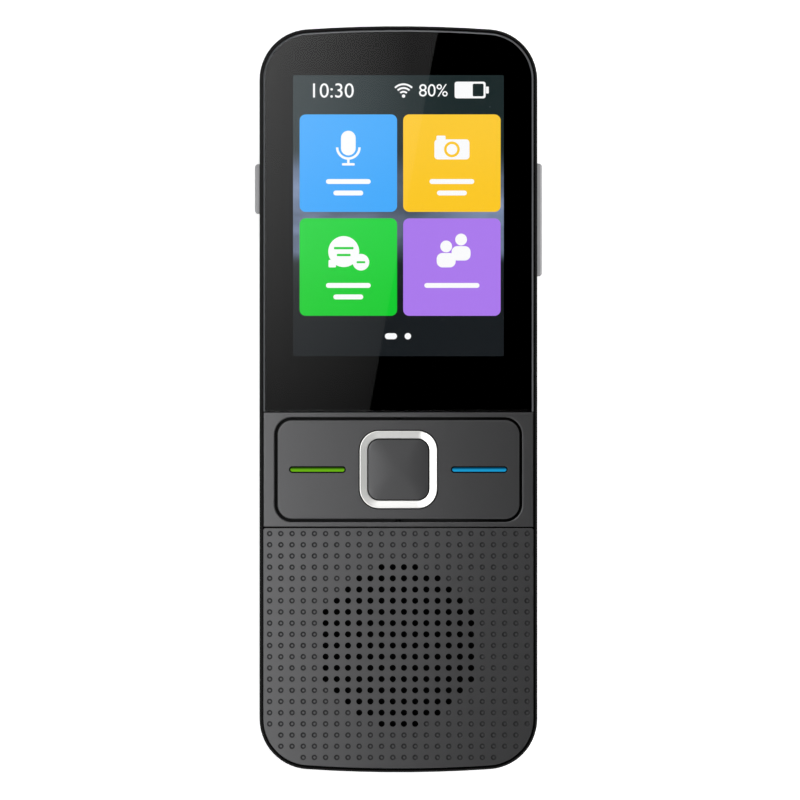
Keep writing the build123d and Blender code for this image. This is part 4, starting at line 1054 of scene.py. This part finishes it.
    def status_marks(self) -> list[Outline]:
        """Signal arcs over a dot, and a battery with its terminal."""
        arcs_up = [ring_sector(radius, 0.32, 45, 135) for radius in (0.8, 1.45, 2.1)]
        marks = [self.place(arc, 0.9, self.status_y - 1.1) for arc in arcs_up]
        marks.append(self.place(circle(0.3, 16), 0.9, self.status_y - 1.05))
        case, terminal = rounded_rectangle(5.4, 2.9, 0.4), rounded_rectangle(0.5, 1.2, 0.1, 2)
        return marks + [self.place(case, 12.5, self.status_y), self.place(terminal, 15.5, self.status_y)]

    def details(self) -> None:
        """Marks in the colour of what lies under the white: lens, bubble line, badge and battery."""
        left, right = self.grid_x - self.pitch_x / 2, self.grid_x + self.pitch_x / 2
        up, down = self.grid_y + self.pitch_y / 2, self.grid_y - self.pitch_y / 2
        sets = {
            "yellow": [self.place(ring_sector(1.15, 0.45, 0, 359.9, 32), right, up + 2.4)],
            "green": [
                self.place(rounded_rectangle(3.4, 0.4, 0.1, 2), left - 0.8, down + 3.3),
                self.place(rounded_rectangle(2.4, 0.4, 0.1, 2), left - 0.8, down + 2.1),
                self.place(rounded_rectangle(1.5, 0.35, 0.1, 2), left + 2.2, down + 0.85),
            ],
        }
        for name, outlines in sets.items():
            material = bpy.data.materials[f"lit_tile_{name}"]
            write_piece(f"details_{name}", self.layer(outlines, 3), (material,), "case")
        empty = [self.place(rounded_rectangle(1.9, 2.2, 0.2, 2), 13.9, self.status_y)]
        dark = bpy.data.materials["lit_background"]
        write_piece("details_battery", self.layer(empty, 3), (dark,), "case")


WHITE_LIGHT = LitFinish("lit_white", "#FCFDFE", "#FCFDFE", 0, 1, PICTURE_STRENGTH)


@dataclass
class GrillePanel:
    """The speaker panel: a round field of open holes among shallow dimples."""

    pitch: float = 1.95
    columns: int = 12
    field_radius: float = 14.25
    field_rise: float = 0.5
    hole_radius: float = 0.535
    dimple_radius: float = 0.49
    dimple_depth: float = 0.12
    floor_share: float = 0.4
    margin: float = 0.85
    edge: float = 0.14

    def places(self, outline: Outline, box: Box) -> tuple[np.ndarray, np.ndarray]:
        """The middles of the holes and of the dimples.

        The grid is centred on the sound field. A point is a hole within the field's radius of
        it, and otherwise a dimple where it lies further than the margin inside the panel.
        """
        middle = box_middle(box) + self.field_rise
        column = (np.arange(-self.columns, self.columns) + 0.5) * self.pitch
        row = np.arange(-self.columns, self.columns + 1) * self.pitch
        grid = np.stack(np.meshgrid(column, row), -1).reshape(-1, 2)
        away = np.hypot(grid[:, 0], grid[:, 1])
        points = grid + np.array([0, middle])
        signed = ((points[:, None] - outline.points[None]) * outline.normals[None]).sum(-1)
        nearest = np.abs(points[:, None] - outline.points[None]).sum(-1)
        inside = (signed.max(axis=1) < -self.margin) & (nearest.min(axis=1) > self.margin)
        return points[away <= self.field_radius], points[(away > self.field_radius) & inside]

    def bowl(self, top: float, steps: int = 16) -> Surface:
        """A dimple with painted shade on its rounded side and a small level floor: ring k has the radius
        r * s at the depth d * (1 - s squared)."""
        scale = np.array([1, 0.85, 0.62, self.floor_share])[:, None, None]
        plane = scale * circle(self.dimple_radius, steps).points[None]
        height = np.broadcast_to(top - self.dimple_depth * (1 - scale**2), plane.shape[:2] + (1,))
        rings = np.concatenate([plane, height], axis=2)
        return join(loft(rings).painted(1), flat_face([plane[-1]], float(height[-1, 0, 0])))

    def build(self) -> None:
        """Makes the panel."""
        box = node_box("grille_panel")
        outline = end_outline(box, 0.0, toward_top=False)
        holes, dimples = self.places(outline, box)
        around = tuple(circle(self.hole_radius).moved(*place) for place in holes)
        pockets = tuple(circle(self.dimple_radius, 16).moved(*place) for place in dimples)
        body = plate(outline, box.low[2], box.high[2], self.edge, around, 2, pockets)
        panel = join(body, self.bowl(box.high[2]).stamped(dimples))
        lacquer = FINISHES["panel_grey"].material()
        # The dimples' sides take painted shade, and the holes' walls a black painted shade.
        coats = (lacquer, DIMPLE_SHADE.material(),PAINTED_SHADE_BLACK.material())
        write_piece("speaker_panel", panel, coats, "case", ("grille_panel",), flat_top=True)
        LOG.info("speaker panel: %d holes and %d dimples", len(holes), len(dimples))


def box_middle(box: Box) -> float:
    """The middle of a box along Y."""
    return float(box.centre[1])


@dataclass
class KeyCluster:
    """The key bar: panel, rocker with two light bars, plated ring and centre key."""

    ring_width: float = 1.35
    ring_corner: float = 3.4
    ring_edge: float = 0.12
    ring_fall: float = 0.49
    bar_rim: float = 1.22
    bar_flange: float = 0.5
    bar_edge: float = 0.12
    shade_depth: float = 0.6
    bevel: float = 0.07
    cap_size: float = 10.5
    cap_corner: float = 1.9
    cap_depth: float = 0.3
    cap_crown: float = 0.21
    cap_edge: float = 0.04
    cap_steep: float = 0.9

    def centre_key(self) -> None:
        """The centre key: a lacquered cap with a bulging face, over the lower part of the key,
        whose points are lowered to min(z, seam) to meet it."""
        box = node_box("centre_key")
        seam = box.high[2] - self.cap_depth
        lower = refined_copy("centre_key", 0.0)
        points = np.zeros(len(lower.data.vertices) * 3)
        lower.data.vertices.foreach_get("co", points)
        points[2::3] = np.minimum(points[2::3], seam * MM)
        lower.data.vertices.foreach_set("co", points)
        # The lower part, seen in the gap round the cap, is black: painted shade.
        dress(lower, [PAINTED_SHADE_BLACK.material()])
        outline = rounded_rectangle(self.cap_size, self.cap_size, self.cap_corner, 12)
        outline = outline.moved(box.centre[0], box_middle(box))
        cap = dome(outline, seam, box.high[2], self.cap_edge, self.cap_crown)
        lacquer = FINISHES["key_grey"].material()
        piece = write_piece("centre_cap", cap, (lacquer,), "centre_button")
        # The cap's steep and deep faces take painted shade.
        paint_recess_shade(piece, self.shade_depth, self.cap_steep)

    def ring(self) -> None:
        """The plated ring, dished inwards: across its width, with u from 0 at the outer edge to
        1 at the inner one, its top lies fall * u below the outer edge, and a quarter round
        breaks each edge."""
        box = node_box("centre_ring")
        outline = rounded_rectangle(box.size[0], box.size[1], self.ring_corner, 14)
        outline = outline.moved(0, box_middle(box))
        turn = np.linspace(0, np.pi / 2, 5)
        rise, run = self.ring_edge * (1 - np.sin(turn)), self.ring_edge * (1 - np.cos(turn))
        outer = np.column_stack([run, box.high[2] - rise])
        inner = np.column_stack([self.ring_width - run, box.high[2] - self.ring_fall - rise])[::-1]
        foot = np.array([[self.ring_width, box.low[2]], [0, box.low[2]]])
        section = np.vstack([outer, inner, foot, outer[:1]])
        finish = FINISHES["ring_chrome"].material()
        ring = wall(outline, section)
        write_piece("plated_ring", ring, (finish,), "case", ("centre_ring",))

    def bars(self) -> None:
        """The two lit bars, each a rounded strip over its hidden flange."""
        colours = (
            ("light_bar_left", "green", "#68B017", "#2A4E08"),
            ("light_bar_right", "blue", "#1896CC", "#05435E"),
        )
        for node, name, low_colour, high_colour in colours:
            box = node_box(node)
            across, along = box.size[0], box.size[1]
            middle, foot = box_middle(box), box.low[2] + self.bar_flange
            flange = rounded_rectangle(across, along, 0.2, 2).moved(box.centre[0], middle)
            strip = pill(across - self.bar_rim, along - self.bar_rim).moved(box.centre[0], middle)
            lens = plate(strip, foot, box.high[2], self.bar_edge)
            # The flange, seen through the gap round the strip, is black: painted shade.
            shape = join(lens, plate(flange, box.low[2], foot).painted(1))
            finish = LitFinish(f"lit_acrylic_{name}", low_colour, high_colour, middle - 0.1, middle + 0.3)
            coats = (finish.material(), PAINTED_SHADE_BLACK.material())
            write_piece(f"bar_{name}", shape, coats, "rocker", (node,))

    def build(self) -> None:
        """Makes the key bar's pieces."""
        # The steep and deep faces of the key panel and the rocker take a black painted shade.
        for node in ("key_panel", "rocker_key"):
            paint_recess_shade(refined_copy(node, self.bevel), self.shade_depth)
        self.centre_key()
        self.ring()
        self.bars()


@dataclass
class RearWindow:
    """The smoked window over the camera, with the printed mask round the lens and the flash."""

    bevel: float = 0.12
    mask_depth: float = 0.01
    lens_opening: float = 2.3
    flash_opening: float = 1.3
    lens_crown: float = 0.2
    mask_inset: float = 0.15
    trim_gap: float = 0.03
    trim_width: float = 0.45
    trim_depth: float = 0.12

    def camera(self, lens: Box) -> None:
        """The lens with its front face bulging to the back, and the turned rim round it.

        Args:
            lens: the lens's box.
        """
        radius, middle = lens.size[0] / 2, np.array([lens.centre[0], lens.centre[1], 0])
        cap = dome(circle(radius, 48), 0, lens.size[2], self.bevel / 4, self.lens_crown)
        # The cap's upward face turns to the back: each height is taken off the box's own top.
        turned = Surface(cap.vertices * (1, 1, -1) + middle + (0, 0, lens.high[2]), cap.faces)
        glass = (FINISHES["lens_glass"].material(),)
        write_piece("lens_dome", turned, glass, "case", ("camera_lens",))
        inner = circle(radius + self.trim_gap, 48).moved(*middle[:2])
        outer = circle(radius + self.trim_width, 48).moved(*middle[:2])
        rim = plate(outer, lens.low[2] - self.trim_depth, lens.low[2], holes=(inner,))
        write_piece("lens_rim", rim, (LENS_TRIM.material(),), "case")

    def build(self) -> None:
        """Makes the window, its mask, and the lens."""
        refined_copy("camera_window", self.bevel)
        window, lens, flash = node_box("camera_window"), node_box("camera_lens"), node_box("flash_guide")
        self.camera(lens)
        middle = box_middle(window)
        width, length = window.size[:2] - 2 * self.mask_inset
        outline = pill(width, length, 16).moved(0, middle)
        holes = (
            circle(self.lens_opening, 36).moved(lens.centre[0], middle),
            circle(self.flash_opening, 28).moved(flash.centre[0], middle),
        )
        top = window.high[2]
        mask = plate(outline, top + self.mask_depth / 8, top + self.mask_depth, holes=holes)
        write_piece("window_mask", mask, (BORDER_ENAMEL.material(),), "case")


@dataclass
class SnapDomes:
    """The snap domes under the keys, which flatten as the keys go down on them."""

    keep: float = 0.06

    def build(self) -> None:
        """Makes a finished copy, with a mesh of its own, of each dome that the record lists under a key's
        joint.
        """
        for joint in frame["record"]["behaviour"]["joints"]:
            for row in joint["deforming_nodes"]:
                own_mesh(refined_copy(row["node"], 0.0))


@dataclass
class Interior:
    """Every CAD node that keeps its own shape, dressed by its material slot."""

    def build(self) -> None:
        """Dresses the nodes that nothing has replaced."""
        for name, node in frame["nodes"].items():
            if not node.hide_render:
                dress(node, [FINISHES[slot_of(name)].material()])
                LOG.info("%s: dressed as %s", name, slot_of(name))


# ---- Studio -------------------------------------------------------------------------
@dataclass(frozen=True)
class Softbox:
    """A soft lamp: where it stands, its two sides and its power in watts."""

    name: str
    place: tuple[float, float, float]
    sides: tuple[float, float]
    power: float

    def build(self) -> None:
        """Makes the lamp, facing the middle of the object. Nothing mirrors it."""
        lamp = bpy.data.lights.new(self.name, "AREA")
        lamp.shape = "RECTANGLE"
        lamp.size, lamp.size_y = (side * MM for side in self.sides)
        lamp.energy = self.power
        holder = bpy.data.objects.new(self.name, lamp)
        holder.location = Vector(self.place) * MM
        holder.rotation_euler = (-Vector(self.place)).to_track_quat("-Z", "Y").to_euler()
        holder.visible_glossy = False
        bpy.context.scene.collection.objects.link(holder)


def mirror_card(name: str, shape: Surface, material: bpy.types.Material) -> None:
    """A lit card of the studio that shows in reflections only.

    Args:
        name: the card's name.
        shape: its shape.
        material: its light.
    """
    mesh = bpy.data.meshes.new(name)
    rows = [row for faces in shape.faces for row in faces.tolist()]
    mesh.from_pydata((shape.vertices * MM).tolist(), [], rows)
    card = bpy.data.objects.new(name, mesh)
    bpy.context.scene.collection.objects.link(card)
    dress(card, [material])
    card.visible_camera = False
    card.visible_diffuse = False
    card.visible_shadow = False


def even_card(name: str, corners: np.ndarray, strength: float) -> None:
    """A card of one even light.

    Args:
        name: the card's name.
        corners: its four corners in order.
        strength: its light.
    """
    material, tree, surface = new_material(f"{name}_light")
    light = add_node(tree, "ShaderNodeEmission", {"Strength": strength})
    tree.links.new(light.outputs[0], surface)
    mirror_card(name, Surface(corners, [np.arange(4)[None]]), material)


@dataclass
class Studio:
    """A pale floor, soft lamps, cards that the glass and the metal mirror, and the camera."""

    lens: float = 600.0
    sensor: float = 36.0
    frame_width: float = 139.36
    aim_x: float = 0.28
    aim_y: float = -0.13
    card_height: float = 1100.0
    floor_size: float = 4000.0
    wall_light: float = 1.0
    ceiling_light: float = 0.02
    halo_height: float = 500.0
    halo_inner: float = 33.0
    halo_outer: float = 48.0
    halo_dim: float = 0.93
    halo_bright: float = 1.9
    strip_place: tuple[float, float, float] = (-60.0, 5.0, 112.0)
    strip_width: float = 60.0
    strip_length: float = 300.0
    strip_light: float = 3.8
    fill_sides: tuple[float, float, float, float] = (-20.0, 14.0, -40.0, -4.0)
    fill_height: float = 70.0
    fill_light: float = 0.55

    def camera(self) -> float:
        """Makes the camera, straight above the object.

        Returns:
            Its height over the glass.
        """
        face = node_box("cover_glass").high[2]
        distance = self.frame_width * self.lens / self.sensor
        data = bpy.data.cameras.new("camera")
        data.lens, data.sensor_width = self.lens, self.sensor
        data.clip_start, data.clip_end = 0.01, 20.0
        camera = bpy.data.objects.new("camera", data)
        camera.location = Vector((self.aim_x, self.aim_y, face + distance)) * MM
        bpy.context.scene.collection.objects.link(camera)
        bpy.context.scene.camera = camera
        return distance

    def card(self, distance: float) -> None:
        """The card that shows in the glass as a pale wedge with a slanting right edge.

        A point of the glass mirrors the card point (1 + h / d) times as far from the camera's
        axis, with h the card's height over the glass and d the camera's.

        Args:
            distance: the camera's height over the glass.
        """
        grow = 1 + self.card_height / distance
        edge_top, edge_foot = (7.5, 68.0), (-5.9, -7.0)
        corners = np.array([(-60, 75), (-60, -7.0), edge_foot, edge_top, (7.9, 75)], float)
        aim = np.array([self.aim_x, self.aim_y])
        plane = aim + (corners - aim) * grow
        face = node_box("cover_glass").high[2]
        level = np.full((len(plane), 1), face + self.card_height)
        shape = Surface(np.hstack([plane, level]), [np.arange(len(plane))[None]])
        material, tree, surface = new_material("mirror_card_light")
        spot = add_node(tree, "ShaderNodeSeparateXYZ", {"Vector": object_place(tree, (1, 1, 1))})
        down = {"Value": spot.outputs["Y"], 1: -2 * grow * MM, 2: 60 * grow * MM, 3: 0.36, 4: 1.5}
        fade = add_node(tree, "ShaderNodeMapRange", down)
        across = {"Value": spot.outputs["X"], 1: -24 * grow * MM, 2: 2 * grow * MM, 3: 1.1, 4: 0.27}
        side = add_node(tree, "ShaderNodeMapRange", across)
        both = {0: fade.outputs[0], 1: side.outputs[0]}
        strength = add_node(tree, "ShaderNodeMath", both, operation="MULTIPLY")
        light = add_node(tree, "ShaderNodeEmission", {"Strength": strength.outputs[0]})
        tree.links.new(light.outputs[0], surface)
        mirror_card("mirror_card", shape, material)

    def halo(self) -> None:
        """The level ring-shaped card over the key cluster that the plated ring mirrors.

        A face of the ring that leans by t is seen to mirror the direction 2 t from straight up,
        so the card lies from halo_inner to halo_outer degrees from there. Its light grows from
        dim to bright with the share of its direction towards the back left.
        """
        ring = node_box("centre_ring")
        reach = np.tan(np.radians([self.halo_inner, self.halo_outer])) * self.halo_height
        edges = [circle(radius, 96).moved(0, box_middle(ring)).points for radius in reach]
        level = np.full((2, 96, 1), ring.high[2] + self.halo_height)
        shape = loft(np.concatenate([np.stack(edges), level], axis=2))
        material, tree, surface = new_material("halo_light")
        place = object_place(tree, (1, 1, 0))
        heading = add_node(tree, "ShaderNodeVectorMath", {0: place}, operation="NORMALIZE")
        toward = {0: heading.outputs[0], 1: (-math.sqrt(0.5), math.sqrt(0.5), 0)}
        share = add_node(tree, "ShaderNodeVectorMath", toward, operation="DOT_PRODUCT")
        grows = {"Value": share.outputs["Value"], 1: 0.0, 2: 0.65, 3: self.halo_dim, 4: self.halo_bright}
        strength = add_node(tree, "ShaderNodeMapRange", grows, interpolation_type="SMOOTHSTEP")
        light = add_node(tree, "ShaderNodeEmission", {"Strength": strength.outputs[0]})
        tree.links.new(light.outputs[0], surface)
        mirror_card("halo_card", shape, material)

    def strip(self) -> None:
        """The long card close at the left, turned to the object. The satin metal mirrors it
        less and less towards the right, where the angle to it grows."""
        place = np.array(self.strip_place)
        toward = np.array([place[0], 0, place[2]])
        across = np.cross([0, 1, 0], toward / np.linalg.norm(toward)) * self.strip_width / 2
        along = np.array([0, self.strip_length / 2, 0])
        corners = place + np.array([across + along, along - across, -across - along, across - along])
        even_card("strip_card", corners, self.strip_light)

    def fill(self) -> None:
        """The small level card over the keys and the upper speaker panel, which lifts their
        middles. It ends before the glass, so the glass doesn't mirror it."""
        left, right, front, back = self.fill_sides
        level = node_box("cover_glass").high[2] + self.fill_height
        around = ((left, front), (right, front), (right, back), (left, back))
        even_card("fill_card", np.array([(*corner, level) for corner in around]), self.fill_light)

    def floor(self) -> None:
        """A white floor that keeps the object's shadow: it glows for the camera, and its own
        white takes the lamps' light."""
        side = self.floor_size / 2 * MM
        mesh = bpy.data.meshes.new("floor")
        corners = [(-side, -side, 0), (side, -side, 0), (side, side, 0), (-side, side, 0)]
        mesh.from_pydata(corners, [], [[0, 1, 2, 3]])
        floor = bpy.data.objects.new("floor", mesh)
        bpy.context.scene.collection.objects.link(floor)
        material, tree, surface = new_material("floor_white")
        path = add_node(tree, "ShaderNodeLightPath", {})
        seen = {0: path.outputs["Is Camera Ray"], 1: 0.75}
        glow = add_node(tree, "ShaderNodeMath", seen, operation="MULTIPLY")
        inputs = {"Base Color": (0.85, 0.85, 0.85, 1), "Roughness": 0.9}
        inputs |= {"Emission Color": (1, 1, 1, 1), "Emission Strength": glow.outputs[0]}
        shader = add_node(tree, "ShaderNodeBsdfPrincipled", inputs)
        tree.links.new(shader.outputs[0], surface)
        dress(floor, [material])
        floor.location.z = -0.02 * MM

    def world(self) -> None:
        """White for the camera, and otherwise a room with white walls and a dark ceiling."""
        world = bpy.data.worlds.new("room")
        bpy.context.scene.world = world
        world.use_nodes = True
        tree = world.node_tree
        tree.nodes.clear()
        heading = add_node(tree, "ShaderNodeTexCoord", {})
        up = add_node(tree, "ShaderNodeSeparateXYZ", {"Vector": heading.outputs["Generated"]})
        # The walls end 55 degrees from straight up. A black disc of 5 degrees is right overhead.
        fade = {"Value": up.outputs["Z"], 1: 0.5, 2: 0.64, 3: self.wall_light, 4: self.ceiling_light}
        room = add_node(tree, "ShaderNodeMapRange", fade, interpolation_type="SMOOTHSTEP")
        disc = add_node(tree, "ShaderNodeMapRange", {"Value": up.outputs["Z"], 1: 0.998, 2: 0.993})
        both = {0: room.outputs[0], 1: disc.outputs[0]}
        lit = add_node(tree, "ShaderNodeMath", both, operation="MULTIPLY")
        path = add_node(tree, "ShaderNodeLightPath", {})
        seen = {0: path.outputs["Is Camera Ray"], 2: lit.outputs[0], 3: 1.0}
        strength = add_node(tree, "ShaderNodeMix", seen, data_type="FLOAT")
        background = add_node(tree, "ShaderNodeBackground", {"Strength": strength.outputs[0]})
        output = tree.nodes.new("ShaderNodeOutputWorld")
        tree.links.new(background.outputs[0], output.inputs["Surface"])

    def build(self) -> None:
        """Makes the studio."""
        lamps = (
            Softbox("lamp_right", (290, -30, 500), (200, 120), 0.7),
            Softbox("lamp_back", (0, 300, 480), (300, 120), 0.9),
            Softbox("lamp_front", (0, -300, 480), (300, 120), 0.6),
        )
        for lamp in lamps:
            lamp.build()
        self.card(self.camera())
        self.halo()
        self.strip()
        self.fill()
        self.floor()
        self.world()


def main() -> None:
    """Builds the studio and the sub-assemblies in order."""
    logging.basicConfig(level=logging.INFO, format="%(name)s %(message)s")
    bpy.context.scene.view_settings.view_transform = "Standard"
    Studio().build()
    glass = FrontGlass()
    outside = (Housing(), glass, Screen(glass), GrillePanel(), KeyCluster(), RearWindow())
    for assembly in (*outside, SnapDomes(), Interior()):
        assembly.build()
        LOG.info("%s built", type(assembly).__name__)


if __name__ == "__main__":
    main()
